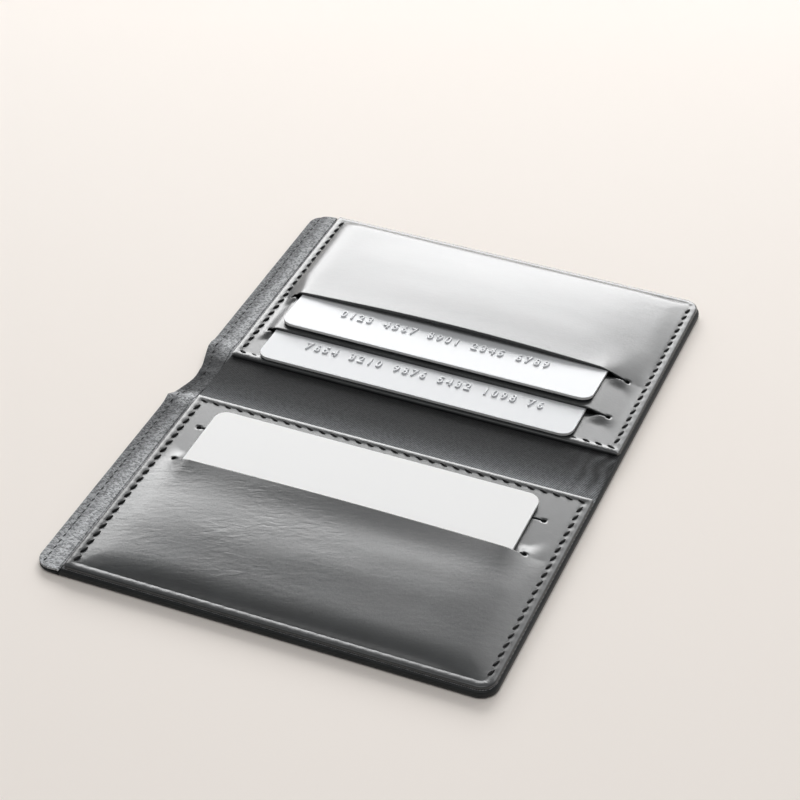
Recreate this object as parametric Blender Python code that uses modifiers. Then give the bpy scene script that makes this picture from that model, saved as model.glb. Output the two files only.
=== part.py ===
"""Open bifold card wallet holding a signal blocking card and two payment cards.

The wallet lies open on its cover. +X runs along the spine, +Y points from the near panel to the far
panel, and +Z is up. The origin is on the table, under the middle of the cover.

In each half a place is given by w, the distance from the spine's centre line, or by v, the distance
from the panel's spine edge. Across a panel it is given by u, the distance from the panel's left edge.
"""
import math

import bmesh
import bpy
from mathutils import Matrix, Vector

MM = 0.001

# Outline of the wallet
PANEL_DEPTH = 72.4 * MM
GUTTER_WIDTH = 19.0 * MM
LEFT_MARGIN = 7.6 * MM
EDGE_MARGIN = 0.6 * MM
OUTER_CORNER = 4.5 * MM
SPINE_PINCH = 2.6 * MM
PINCH_REACH = 14.0 * MM
FOLD_GAP = 0.3 * MM
COVER_ROUND = 0.2 * MM
TURN_IN_WIDTH = 4.0 * MM
HEM_WIDTH = 6.6 * MM
BOARD_INSET = 3.0 * MM

# Sheet thicknesses, from the table upwards
COVER_LEATHER = 0.9 * MM
COVER_BOARD = 0.4 * MM
COVER_LINING = 0.2 * MM
HEM_THICKNESS = 0.25 * MM
TURN_IN = 0.2 * MM
HEM_SPACE = 0.3 * MM
NOTE_GAP = 0.3 * MM
NOTE_DIVIDER = 0.2 * MM
SLOT_LINER = 0.15 * MM
FACE_LEATHER = 0.7 * MM
GLUE_LINE = 0.05 * MM
CARD_PLAY = 0.1 * MM

# Pocket faces: turned rim, slits and the punched holes that end them
RIM_WIDTH = 2.0 * MM
RIM_STEP = 0.3 * MM
RIM_RISE = 0.2 * MM
SLIT_WIDTH = 0.5 * MM
PUNCH_RADIUS = 0.65 * MM
FAR_FLOOR_INSET = 3.3 * MM
NEAR_FLOOR_INSET = 8.3 * MM
FLOOR_PLAY = 0.2 * MM
LIFT_PLAY = 0.3 * MM
NEAR_CROWN = 0.4 * MM
FAR_CROWN = 1.4 * MM
SIDE_EASE = 10.0 * MM
LINER_LAP = 0.15 * MM
NEAR_LOWER_SLIT = 12.6 * MM
NEAR_UPPER_SLIT = 26.7 * MM
FAR_LOWER_SLIT = 13.2 * MM
FAR_UPPER_SLIT = 29.0 * MM
FAR_FLOOR_STEP = 14.0 * MM
NEAR_SLIT_BEFORE_CARD = 2.3 * MM
NEAR_SLIT_PAST_CARD = 3.0 * MM
FAR_SLIT_BEFORE_CARD = 1.8 * MM
FAR_SLIT_PAST_CARD = 5.6 * MM
SLIT_TO_PANEL_EDGE = 7.0 * MM

# Standard card, and where each one lies in its pocket
CARD_WIDTH = 85.6 * MM
CARD_DEPTH = 53.98 * MM
CARD_THICKNESS = 0.76 * MM
CARD_CORNER = 3.18 * MM
BLOCKING_CARD_LEFT = 8.5 * MM
UPPER_CARD_LEFT = 7.5 * MM
LOWER_CARD_LEFT = 7.0 * MM
BLOCKING_CARD_DRAWN = 4.6 * MM

# Layers inside the cards
OVERLAY = 0.08 * MM
BOND = 0.01 * MM
INLAY_SHEET = 0.08 * MM
COIL_TRACK_THICKNESS = 0.04 * MM
COIL_TRACK_WIDTH = 0.8 * MM
COIL_TRACK_SPACE = 0.7 * MM
COIL_EDGE_INSET = 4.0 * MM
COIL_CORNER = 3.0 * MM
COIL_TURNS = 4
CHIP_SIDE = 5.0 * MM
CHIP_WINDOW_PLAY = 0.3 * MM
CHIP_FROM_LEFT = 20.0 * MM
CHIP_FROM_LEAD = 20.0 * MM
CONTACT_WIDTH = 13.0 * MM
CONTACT_DEPTH = 11.8 * MM
CONTACT_THICKNESS = 0.2 * MM
CONTACT_CORNER = 1.5 * MM
CONTACT_PLAY = 0.1 * MM
CONTACT_FROM_LEFT = 8.6 * MM
CONTACT_FROM_LEAD = 23.5 * MM
STRIPE_DEPTH = 12.7 * MM
STRIPE_THICKNESS = 0.03 * MM
STRIPE_FROM_TAIL = 4.2 * MM
STRIPE_END_INSET = 0.5 * MM

# The closed wallet keeps this much air between its two inner faces
CLOSED_CLEARANCE = 0.4 * MM
CUT_OVERRUN = 1.0 * MM
MERGE_WITHIN = 0.001 * MM

ARC_STEPS = 6
PINCH_STEPS = 6
RAMP_STEPS = 4
FALL_STEPS = 6
CROWN_STEPS = 10
PUNCH_SIDES = 12
NEAR_LIP_CROWN_SHARE = 0.25
FAR_LIP_CROWN_SHARE = 0.5
SHARP_ANGLE = 60

# Heights that follow from the sheets
BOARD_LOW = COVER_LEATHER + GLUE_LINE
LINING_LOW = BOARD_LOW + COVER_BOARD + GLUE_LINE
HEM_LOW = LINING_LOW + COVER_LINING + GLUE_LINE
DIVIDER_LOW = LINING_LOW + COVER_LINING + NOTE_GAP
LINER_LOW = DIVIDER_LOW + NOTE_DIVIDER + GLUE_LINE
FACE_LOW = LINER_LOW + SLOT_LINER + GLUE_LINE

# Slits reach past the cards on both sides, and the panel reaches past the longer slit
NEAR_SLIT_START = BLOCKING_CARD_LEFT - NEAR_SLIT_BEFORE_CARD
NEAR_SLIT_END = BLOCKING_CARD_LEFT + CARD_WIDTH + NEAR_SLIT_PAST_CARD
FAR_CARDS_LEFT = min(UPPER_CARD_LEFT, LOWER_CARD_LEFT)
FAR_CARDS_RIGHT = max(UPPER_CARD_LEFT, LOWER_CARD_LEFT) + CARD_WIDTH
FAR_SLIT_START = FAR_CARDS_LEFT - FAR_SLIT_BEFORE_CARD
FAR_SLIT_END = FAR_CARDS_RIGHT + FAR_SLIT_PAST_CARD
PANEL_WIDTH = FAR_SLIT_END + SLIT_TO_PANEL_EDGE

# Places that follow from the outline
SPINE_EDGE = GUTTER_WIDTH / 2
COVER_REACH = SPINE_EDGE + PANEL_DEPTH + EDGE_MARGIN
COVER_WIDTH = LEFT_MARGIN + PANEL_WIDTH + EDGE_MARGIN
COVER_LEFT = -COVER_WIDTH / 2
COVER_RIGHT = COVER_WIDTH / 2
PANEL_LEFT = COVER_LEFT + LEFT_MARGIN
PANEL_RIGHT = PANEL_LEFT + PANEL_WIDTH
PANEL_CORNER = OUTER_CORNER - EDGE_MARGIN
FAR_UPPER_FLOOR = PANEL_DEPTH - FAR_FLOOR_INSET
FAR_LOWER_FLOOR = FAR_UPPER_FLOOR - FAR_FLOOR_STEP
NEAR_UPPER_FLOOR = PANEL_DEPTH - NEAR_FLOOR_INSET
NEAR_LOWER_FLOOR = NEAR_UPPER_FLOOR - (NEAR_UPPER_SLIT - NEAR_LOWER_SLIT)
NEAR = -1
FAR = 1

parts = bpy.data.collections.new("card_wallet")
cutters = bpy.data.collections.new("cutters")


class Plane:
    """A card's underside: its height falls evenly from the slit's lip towards the pocket's floor."""

    def __init__(self, v_lip, z_lip, v_floor, z_floor):
        self.v_lip = v_lip
        self.z_lip = z_lip
        self.slope = (z_lip - z_floor) / (v_floor - v_lip)

    def under(self, v):
        return self.z_lip - (v - self.v_lip) * self.slope

    def over(self, v):
        return self.under(v) + CARD_THICKNESS

    def tilt(self):
        return math.atan(self.slope)


# The lower payment card climbs over the inner strip, and ends on its liner at the lower floor
LIP_TOP = FACE_LOW + FACE_LEATHER
LOWER_PLANE = Plane(FAR_LOWER_SLIT, LIP_TOP + CARD_PLAY,
                    FAR_LOWER_FLOOR, LINER_LOW + SLOT_LINER + CARD_PLAY)

# The upper payment card climbs over the middle strip, and clears the lower card's tail and the liner
MIDDLE_STRIP_TOP = LOWER_PLANE.over(FAR_UPPER_SLIT) + CARD_PLAY + FACE_LEATHER
UPPER_PLANE = Plane(FAR_UPPER_SLIT, MIDDLE_STRIP_TOP + CARD_PLAY,
                    FAR_LOWER_FLOOR, LOWER_PLANE.over(FAR_LOWER_FLOOR) + SLOT_LINER + 2 * CARD_PLAY)

# The blocking card lies on the near panel's strips, whose own slot is empty and flat
BLOCKING_PLANE = Plane(NEAR_UPPER_SLIT, LIP_TOP + CARD_PLAY,
                       NEAR_UPPER_FLOOR, FACE_LOW + SLOT_LINER + CARD_PLAY)

# Each card's leading edge at rest: seated on its pocket's floor, or drawn out from there
UPPER_CARD_LEAD = FAR_UPPER_FLOOR - FLOOR_PLAY - CARD_DEPTH
LOWER_CARD_LEAD = FAR_LOWER_FLOOR - FLOOR_PLAY - CARD_DEPTH
BLOCKING_CARD_LEAD = NEAR_UPPER_FLOOR - FLOOR_PLAY - CARD_DEPTH - BLOCKING_CARD_DRAWN

# The fold's axis stands where the two inner faces just clear each other when the wallet is shut
FAR_HEIGHT = UPPER_PLANE.over(FAR_UPPER_SLIT) + CARD_PLAY + FACE_LEATHER + FAR_CROWN
NEAR_HEIGHT = BLOCKING_PLANE.over(NEAR_UPPER_SLIT) + CARD_PLAY + FACE_LEATHER + NEAR_CROWN
FOLD_AXIS_HEIGHT = (FAR_HEIGHT + NEAR_HEIGHT + CLOSED_CLEARANCE) / 2


def clear_scene():
    for obj in list(bpy.data.objects):
        bpy.data.objects.remove(obj, do_unlink=True)
    scene = bpy.context.scene
    scene.collection.children.link(parts)
    scene.collection.children.link(cutters)


def material(name, colour, roughness, metallic=0.0):
    """A plain Principled material, made once for each name."""
    found = bpy.data.materials.get(name)
    if found:
        return found
    made = bpy.data.materials.new(name)
    made.use_nodes = True
    shader = made.node_tree.nodes["Principled BSDF"]
    shader.inputs["Base Color"].default_value = (*colour, 1.0)
    shader.inputs["Roughness"].default_value = roughness
    shader.inputs["Metallic"].default_value = metallic
    return made


def leather():
    return material("smooth_leather", (0.035, 0.036, 0.038), 0.42)


def textile():
    return material("woven_lining", (0.03, 0.031, 0.034), 0.85)


def board():
    return material("bonded_board", (0.16, 0.14, 0.12), 0.9)


def white_film():
    return material("white_film", (0.86, 0.86, 0.85), 0.45)


def core_plastic():
    return material("core_plastic", (0.74, 0.74, 0.73), 0.5)


def clear_film():
    return material("pale_film", (0.78, 0.79, 0.8), 0.2)


def copper():
    return material("etched_copper", (0.72, 0.38, 0.24), 0.35, 1.0)


def gold_plate():
    return material("gold_plate", (0.8, 0.62, 0.3), 0.3, 1.0)


def dark_chip():
    return material("moulded_chip", (0.02, 0.02, 0.02), 0.5)


def stripe_black():
    return material("magnetic_coat", (0.015, 0.013, 0.012), 0.3)


def arc(centre_x, centre_y, radius, start_quarter, steps=ARC_STEPS):
    """Points of a quarter circle that starts at a number of quarter turns and runs anticlockwise."""
    angles = [(start_quarter + i / steps) * math.pi / 2 for i in range(steps + 1)]
    return [(centre_x + radius * math.cos(a), centre_y + radius * math.sin(a)) for a in angles]


def rounded_rectangle(x0, x1, y0, y1, radius):
    return (arc(x1 - radius, y0 + radius, radius, 3) + arc(x1 - radius, y1 - radius, radius, 0)
            + arc(x0 + radius, y1 - radius, radius, 1) + arc(x0 + radius, y0 + radius, radius, 2))


def pinch(w):
    """How far the left edge is drawn in at the spine, easing out to nothing at PINCH_REACH."""
    if w >= PINCH_REACH:
        return 0.0
    return SPINE_PINCH * (1 + math.cos(math.pi * w / PINCH_REACH)) / 2


def half_outline(side, left, right, w_inner, w_outer, left_corner, right_corner, pinched=False):
    """Outline of one sheet of a half: square at the spine, round at its two outer corners."""
    points = [(right, w_inner)]
    if right_corner:
        points += arc(right - right_corner, w_outer - right_corner, right_corner, 0)
    else:
        points += [(right, w_outer)]
    if left_corner:
        points += arc(left + left_corner, w_outer - left_corner, left_corner, 1)
    else:
        points += [(left, w_outer)]
    if pinched:
        reach = PINCH_REACH - w_inner
        places = [PINCH_REACH - reach * i / PINCH_STEPS for i in range(PINCH_STEPS + 1)]
        points += [(left + pinch(w), w) for w in places]
    else:
        points += [(left, w_inner)]
    return [(x, side * w) for x, w in points]


def baked(source):
    """A mesh object made from an object as its modifiers leave it, in the same place."""
    depsgraph = bpy.context.evaluated_depsgraph_get()
    mesh = bpy.data.meshes.new_from_object(source.evaluated_get(depsgraph))
    made = bpy.data.objects.new(source.name, mesh)
    made.parent = source.parent
    made.matrix_world = source.matrix_world
    name = source.name
    bpy.data.objects.remove(source, do_unlink=True)
    made.name = name
    parts.objects.link(made)
    bm = bmesh.new()
    bm.from_mesh(mesh)
    bmesh.ops.remove_doubles(bm, verts=bm.verts, dist=MERGE_WITHIN)
    bmesh.ops.recalc_face_normals(bm, faces=bm.faces)
    bm.to_mesh(mesh)
    bm.free()
    return made


def plate(name, outline, low, thickness, finish, parent=None):
    """A flat sheet cut to an outline, from a filled curve, made a mesh."""
    curve = bpy.data.curves.new(name, "CURVE")
    curve.dimensions = "2D"
    curve.fill_mode = "BOTH"
    curve.extrude = thickness / 2
    spline = curve.splines.new("POLY")
    spline.points.add(len(outline) - 1)
    for point, (x, y) in zip(spline.points, outline):
        point.co = (x, y, 0, 1)
    spline.use_cyclic_u = True
    curve.materials.append(finish)
    obj = bpy.data.objects.new(name, curve)
    obj.location = (0, 0, low + thickness / 2)
    obj.parent = parent
    parts.objects.link(obj)
    bpy.context.view_layer.update()
    return baked(obj)


def cutter_box(name, low, high, parent=None):
    bm = bmesh.new()
    bmesh.ops.create_cube(bm, size=1)
    size = Vector(high) - Vector(low)
    bmesh.ops.scale(bm, vec=size, verts=bm.verts)
    bmesh.ops.translate(bm, vec=(Vector(low) + Vector(high)) / 2, verts=bm.verts)
    return cutter(name, bm, parent)


def cutter_punch(name, centre, radius, low, high):
    bm = bmesh.new()
    bmesh.ops.create_cone(bm, cap_ends=True, segments=PUNCH_SIDES,
                          radius1=radius, radius2=radius, depth=high - low)
    bmesh.ops.translate(bm, vec=(*centre, (low + high) / 2), verts=bm.verts)
    return cutter(name, bm)


def cutter(name, bm, parent=None):
    mesh = bpy.data.meshes.new(name)
    bm.to_mesh(mesh)
    bm.free()
    obj = bpy.data.objects.new(name, mesh)
    obj.hide_render = True
    obj.display_type = "WIRE"
    obj.parent = parent
    cutters.objects.link(obj)
    return obj


def cut(obj, tool):
    """Takes the tool's shape out of the object."""
    boolean = obj.modifiers.new(tool.name, "BOOLEAN")
    boolean.operation = "DIFFERENCE"
    boolean.object = tool


def smooth_step(share):
    share = min(max(share, 0.0), 1.0)
    return share * share * (3 - 2 * share)


class Face:
    """A pocket face: one leather sheet, slit twice, that the cards lift between its slit ends."""

    def __init__(self, name, side, slits, slit_ends, cards, lifts, floor, crown_height, lip_share):
        slit_start, slit_end = slit_ends
        card_left, card_right = cards
        self.name = name
        self.side = side
        self.slits = slits
        self.slit_start = slit_start
        self.slit_end = slit_end
        self.lift_start = card_left - LIFT_PLAY
        self.lift_end = card_right + LIFT_PLAY
        self.lifts = lifts
        self.crown_height = crown_height
        self.lip_share = lip_share
        self.floor = floor
        self.floor_start = floor + CARD_PLAY
        self.floor_end = PANEL_DEPTH - RIM_WIDTH

    def across(self, u, v):
        """Share of the lift: all of it over the card, none at the slit's ends and, further in, at the rim."""
        back = smooth_step((v - self.slits[1]) / SIDE_EASE)
        start = self.slit_start + (RIM_WIDTH - self.slit_start) * back
        end = self.slit_end + (PANEL_WIDTH - RIM_WIDTH - self.slit_end) * back
        rise = (u - start) / (self.lift_start - start)
        fall = (end - u) / (end - self.lift_end)
        return smooth_step(rise) * smooth_step(fall)

    def crown(self, u, v):
        """Fullness of the leather between the upper slit and the floor."""
        if v < self.slits[1] or v > self.floor_start:
            return 0.0
        over_u = min(max((u - self.lift_start) / (self.lift_end - self.lift_start), 0.0), 1.0)
        over_v = (v - self.slits[1]) / (self.floor_start - self.slits[1])
        along = self.lip_share + (1 - self.lip_share) * over_v
        return self.crown_height * math.sin(math.pi * over_u) * math.sin(math.pi * along)

    def lift(self, u, v):
        if v < self.slits[0]:
            plane = self.lifts[0]
        elif v < self.slits[1]:
            plane = self.lifts[1]
        else:
            plane = self.lifts[2]
        if plane is None:
            return 0.0
        height = plane.over(min(v, self.floor_start)) + CARD_PLAY - FACE_LOW
        down = 1 - smooth_step((v - self.floor_start) / (self.floor_end - self.floor_start))
        return height * self.across(u, v) * down + self.crown(u, v)

    def rim(self, u, v):
        """Extra height of the upper skin where the sheet's edge is turned under all round."""
        inside = min(u, PANEL_WIDTH - u, v, PANEL_DEPTH - v)
        return RIM_RISE * (1 - smooth_step((inside - RIM_WIDTH + RIM_STEP) / RIM_STEP))

    def u_lines(self):
        left = [RIM_WIDTH - RIM_STEP, RIM_WIDTH]
        right = [PANEL_WIDTH - line for line in left]
        rise = spread(RIM_WIDTH, self.slit_start, 2) + spread(self.slit_start, self.lift_start, RAMP_STEPS)
        over = spread(self.lift_start, self.lift_end, CROWN_STEPS)
        fall = spread(self.lift_end, self.slit_end, RAMP_STEPS)
        fall += spread(self.slit_end, PANEL_WIDTH - RIM_WIDTH, 2)
        return sorted(set(left + rise + over + fall + right))

    def v_lines(self):
        edge = [RIM_WIDTH - RIM_STEP, RIM_WIDTH]
        lips = [slit + shift for slit in self.slits for shift in (-SLIT_WIDTH / 2, SLIT_WIDTH / 2)]
        body = spread(self.slits[1], self.floor_start, CROWN_STEPS)[1:]
        ramp = spread(self.floor_start, self.floor_end, FALL_STEPS)
        return sorted(set(edge + lips + body + ramp + [PANEL_DEPTH - edge[0]]))


def spread(start, end, steps):
    return [start + (end - start) * i / steps for i in range(steps + 1)]


def score(obj, face):
    """Cuts the flat sheet's skin along lines, so that it can bend there."""
    bm = bmesh.new()
    bm.from_mesh(obj.data)
    planes = [((PANEL_LEFT + u, 0, 0), (1, 0, 0)) for u in face.u_lines()]
    planes += [((0, face.side * (SPINE_EDGE + v), 0), (0, 1, 0)) for v in face.v_lines()]
    for point, normal in planes:
        geometry = list(bm.verts) + list(bm.edges) + list(bm.faces)
        bmesh.ops.bisect_plane(bm, geom=geometry, dist=MERGE_WITHIN, plane_co=point, plane_no=normal)
    bm.to_mesh(obj.data)
    bm.free()


def slit_sheet(obj, face):
    """Cuts both slits and punches a round hole at each of their ends."""
    low = FACE_LOW - CUT_OVERRUN
    high = FACE_LOW + FACE_LEATHER + CUT_OVERRUN
    left = PANEL_LEFT + face.slit_start
    right = PANEL_LEFT + face.slit_end
    for number, slit in enumerate(face.slits, 1):
        label = f"{face.name}_slit_{number}"
        y = face.side * (SPINE_EDGE + slit)
        cut(obj, cutter_box(label, (left, y - SLIT_WIDTH / 2, low), (right, y + SLIT_WIDTH / 2, high)))
        for end, x in (("left", left), ("right", right)):
            cut(obj, cutter_punch(f"{label}_{end}", (x, y), PUNCH_RADIUS, low, high))
    return baked(obj)


def pocket_face(face):
    w_outer = SPINE_EDGE + PANEL_DEPTH
    outline = half_outline(face.side, PANEL_LEFT, PANEL_RIGHT, SPINE_EDGE, w_outer, 0, PANEL_CORNER)
    sheet = plate(face.name, outline, FACE_LOW, FACE_LEATHER, leather())
    sheet.data.transform(sheet.matrix_world)
    sheet.matrix_world = Matrix.Identity(4)
    score(sheet, face)
    bpy.context.view_layer.update()
    sheet = slit_sheet(sheet, face)
    middle = FACE_LOW + FACE_LEATHER / 2
    for vert in sheet.data.vertices:
        u = vert.co.x - PANEL_LEFT
        v = face.side * vert.co.y - SPINE_EDGE
        rim = face.rim(u, v) if vert.co.z > middle else 0.0
        vert.co.z += face.lift(u, v) + rim
    return sheet


def cover_stack(name, side):
    """The outer shell of one half: leather, board, lining and the hem along the left edge."""
    start = FOLD_GAP / 2
    whole = half_outline(side, COVER_LEFT, COVER_RIGHT, start, COVER_REACH,
                         OUTER_CORNER, OUTER_CORNER, pinched=True)
    round_edges(plate(f"cover_{name}", whole, 0, COVER_LEATHER, leather()))
    inner = half_outline(side, COVER_LEFT + BOARD_INSET, COVER_RIGHT - BOARD_INSET, SPINE_EDGE,
                         COVER_REACH - BOARD_INSET, OUTER_CORNER, OUTER_CORNER)
    plate(f"cover_board_{name}", inner, BOARD_LOW, COVER_BOARD, board())
    plate(f"cover_lining_{name}", whole, LINING_LOW, COVER_LINING, textile())
    hem = half_outline(side, COVER_LEFT, COVER_LEFT + HEM_WIDTH, start, COVER_REACH,
                       OUTER_CORNER, 0, pinched=True)
    plate(f"cover_hem_{name}", hem, HEM_LOW, HEM_THICKNESS, textile())
    plate(f"cover_turn_in_{name}", turn_in_outline(side), HEM_LOW, TURN_IN, leather())


def turn_in_outline(side):
    """The cover's edge, turned in along the outer and right sides and sewn under the panel."""
    left = COVER_LEFT + HEM_WIDTH + HEM_SPACE
    inner_x = COVER_RIGHT - TURN_IN_WIDTH
    inner_w = COVER_REACH - TURN_IN_WIDTH
    points = [(COVER_RIGHT, FOLD_GAP / 2)]
    points += arc(COVER_RIGHT - OUTER_CORNER, COVER_REACH - OUTER_CORNER, OUTER_CORNER, 0)
    points += [(left, COVER_REACH), (left, inner_w), (inner_x, inner_w), (inner_x, FOLD_GAP / 2)]
    return [(x, side * w) for x, w in points]


def round_edges(obj):
    """Rounds the cut edges of the cover leather a little, above and below."""
    bevel = obj.modifiers.new("edge_round", "BEVEL")
    bevel.width = COVER_ROUND
    bevel.segments = 2
    bevel.limit_method = "ANGLE"
    bevel.angle_limit = math.radians(SHARP_ANGLE)


def note_divider(name, side):
    """The textile wall behind a pocket panel, which runs on across the gutter."""
    outline = half_outline(side, PANEL_LEFT, PANEL_RIGHT, FOLD_GAP / 2, SPINE_EDGE + PANEL_DEPTH,
                           0, PANEL_CORNER)
    plate(f"note_divider_{name}", outline, DIVIDER_LOW, NOTE_DIVIDER, textile())


def slot_frame(name, side, plane, v):
    """An empty on a card's plane at v, turned so that its own XY plane is the card's underside."""
    frame = bpy.data.objects.new(name, None)
    frame.location = (0, side * (SPINE_EDGE + v), plane.under(v))
    frame.rotation_euler = (-side * plane.tilt(), 0, 0)
    parts.objects.link(frame)
    return frame


def slot_liner(name, side, face, slit, floor, plane):
    """The textile tongue under a card, from the slit down to the pocket's floor."""
    start = slit + SLIT_WIDTH / 2 + LINER_LAP
    left = PANEL_LEFT + face.lift_start
    right = PANEL_LEFT + face.lift_end
    if plane is None:
        corners = box_outline(left, right, side * (SPINE_EDGE + start), side * (SPINE_EDGE + floor))
        return plate(name, corners, LINER_LOW, SLOT_LINER, textile())
    frame = slot_frame(f"{name}_frame", side, plane, start)
    length = (floor - start) / math.cos(plane.tilt())
    corners = box_outline(left, right, 0, side * length)
    return plate(name, corners, -CARD_PLAY - SLOT_LINER, SLOT_LINER, textile(), frame)


def box_outline(x0, x1, y0, y1):
    return [(x0, y0), (x1, y0), (x1, y1), (x0, y1)]


class Card:
    """A laminated card: its frame's origin is at its leading left corner, on its underside."""

    def __init__(self, name, side, plane, left, lead):
        self.name = name
        self.side = side
        self.x0 = PANEL_LEFT + left
        self.frame = slot_frame(f"{name}_slide", side, plane, lead)

    def outline(self, left=0.0, right=CARD_WIDTH, lead=0.0, tail=CARD_DEPTH, radius=CARD_CORNER):
        """A rounded rectangle on the card, placed by its distances from the card's own edges."""
        y0, y1 = sorted((self.side * lead, self.side * tail))
        return rounded_rectangle(self.x0 + left, self.x0 + right, y0, y1, radius)

    def layer(self, piece, low, thickness, finish, outline=None):
        shape = outline or self.outline()
        return plate(f"{self.name}_{piece}", shape, low, thickness, finish, self.frame)

    def window(self, piece, left, width, lead, depth, low, high):
        y0, y1 = sorted((self.side * lead, self.side * (lead + depth)))
        x0 = self.x0 + left
        return cutter_box(f"{self.name}_{piece}", (x0, y0, low), (x0 + width, y1, high), self.frame)


def coil_points(card):
    """Centre line of the antenna: a rounded rectangular spiral whose inner end runs to the chip."""
    pitch = COIL_TRACK_WIDTH + COIL_TRACK_SPACE
    centre_x = card.x0 + CARD_WIDTH / 2
    centre_y = card.side * CARD_DEPTH / 2
    chip_y = card.side * (CHIP_FROM_LEAD + CHIP_SIDE / 2)
    corner_steps = ARC_STEPS // 2
    points = []
    for turn in range(COIL_TURNS):
        inset = COIL_EDGE_INSET + pitch * turn + COIL_CORNER
        half_x = CARD_WIDTH / 2 - inset
        half_y = CARD_DEPTH / 2 - inset
        points += arc(centre_x + half_x, centre_y - half_y, COIL_CORNER, 3, corner_steps)
        points += arc(centre_x + half_x, centre_y + half_y, COIL_CORNER, 0, corner_steps)
        points += arc(centre_x - half_x, centre_y + half_y, COIL_CORNER, 1, corner_steps)
        if turn < COIL_TURNS - 1:
            points += arc(centre_x - half_x, centre_y - half_y + pitch, COIL_CORNER, 2, corner_steps)
        else:
            points += arc(centre_x - half_x, chip_y + COIL_CORNER, COIL_CORNER, 2, corner_steps)
    points.append((card.x0 + CHIP_FROM_LEFT - CHIP_WINDOW_PLAY, chip_y))
    return points


def antenna_coil(card, low):
    """A flat copper track: a ribbon that stands on the spiral, thickened to the track's width."""
    name = f"{card.name}_antenna_coil"
    curve = bpy.data.curves.new(name, "CURVE")
    curve.dimensions = "3D"
    curve.extrude = COIL_TRACK_THICKNESS / 2
    points = coil_points(card)
    spline = curve.splines.new("POLY")
    spline.points.add(len(points) - 1)
    for point, (x, y) in zip(spline.points, points):
        point.co = (x, y, 0, 1)
    curve.materials.append(copper())
    coil = bpy.data.objects.new(name, curve)
    coil.location = (0, 0, low + COIL_TRACK_THICKNESS / 2)
    coil.parent = card.frame
    parts.objects.link(coil)
    bpy.context.view_layer.update()
    coil = baked(coil)
    solid = coil.modifiers.new("track_width", "SOLIDIFY")
    solid.thickness = COIL_TRACK_WIDTH
    solid.offset = 0
    return coil


def blocking_card():
    """Seven layers: a film and a core on each side of the inlay that holds the coil and the chip."""
    card = Card("blocking_card", NEAR, BLOCKING_PLANE, BLOCKING_CARD_LEFT, BLOCKING_CARD_LEAD)
    bonds = 5 * BOND
    core = (CARD_THICKNESS - 2 * OVERLAY - INLAY_SHEET - COIL_TRACK_THICKNESS - bonds) / 2
    low = 0
    card.layer("back_overlay", low, OVERLAY, white_film())
    low += OVERLAY + BOND
    card.layer("back_core", low, core, core_plastic())
    low += core + BOND
    card.layer("inlay_sheet", low, INLAY_SHEET, core_plastic())
    low += INLAY_SHEET + BOND
    antenna_coil(card, low)
    chip_low = low
    chip = card.outline(CHIP_FROM_LEFT, CHIP_FROM_LEFT + CHIP_SIDE,
                        CHIP_FROM_LEAD, CHIP_FROM_LEAD + CHIP_SIDE, CONTACT_PLAY)
    low += COIL_TRACK_THICKNESS + BOND
    front_core = card.layer("front_core", low, core, core_plastic())
    window_side = CHIP_SIDE + 2 * CHIP_WINDOW_PLAY
    cut(front_core, card.window("chip_window", CHIP_FROM_LEFT - CHIP_WINDOW_PLAY, window_side,
                                CHIP_FROM_LEAD - CHIP_WINDOW_PLAY, window_side,
                                low - CUT_OVERRUN, low + core + CUT_OVERRUN))
    card.layer("jamming_chip", chip_low, low + core - chip_low, dark_chip(), chip)
    low += core + BOND
    card.layer("front_overlay", low, OVERLAY, white_film())


def payment_card(name, plane, left, lead):
    """Two films round a core, with a contact plate let into the front and a stripe on the back."""
    card = Card(name, FAR, plane, left, lead)
    stripe_layer = STRIPE_THICKNESS + 2 * BOND
    core = CARD_THICKNESS - 2 * OVERLAY - stripe_layer - BOND
    card.layer("back_overlay", 0, OVERLAY, clear_film())
    stripe = card.outline(STRIPE_END_INSET, CARD_WIDTH - STRIPE_END_INSET,
                          CARD_DEPTH - STRIPE_FROM_TAIL - STRIPE_DEPTH, CARD_DEPTH - STRIPE_FROM_TAIL,
                          CONTACT_PLAY)
    card.layer("magnetic_stripe", OVERLAY + BOND, STRIPE_THICKNESS, stripe_black(), stripe)
    core_low = OVERLAY + stripe_layer
    body = card.layer("core", core_low, core, core_plastic())
    film_low = core_low + core + BOND
    film = card.layer("front_overlay", film_low, OVERLAY, clear_film())
    plate_low = CARD_THICKNESS - CONTACT_THICKNESS
    window = card.window("contact_window", CONTACT_FROM_LEFT - CONTACT_PLAY, CONTACT_WIDTH + 2 * CONTACT_PLAY,
                         CONTACT_FROM_LEAD - CONTACT_PLAY, CONTACT_DEPTH + 2 * CONTACT_PLAY,
                         plate_low - BOND, CARD_THICKNESS + CUT_OVERRUN)
    cut(body, window)
    cut(film, window)
    shape = card.outline(CONTACT_FROM_LEFT, CONTACT_FROM_LEFT + CONTACT_WIDTH,
                         CONTACT_FROM_LEAD, CONTACT_FROM_LEAD + CONTACT_DEPTH, CONTACT_CORNER)
    card.layer("contact_plate", plate_low, CONTACT_THICKNESS, gold_plate(), shape)


def wallet_half(name, side, face, lower_floor, planes):
    lower_plane, upper_plane = planes
    cover_stack(name, side)
    note_divider(name, side)
    slot_liner(f"lower_slot_liner_{name}", side, face, face.slits[0], lower_floor, lower_plane)
    slot_liner(f"upper_slot_liner_{name}", side, face, face.slits[1], face.floor, upper_plane)
    pocket_face(face)


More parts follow.
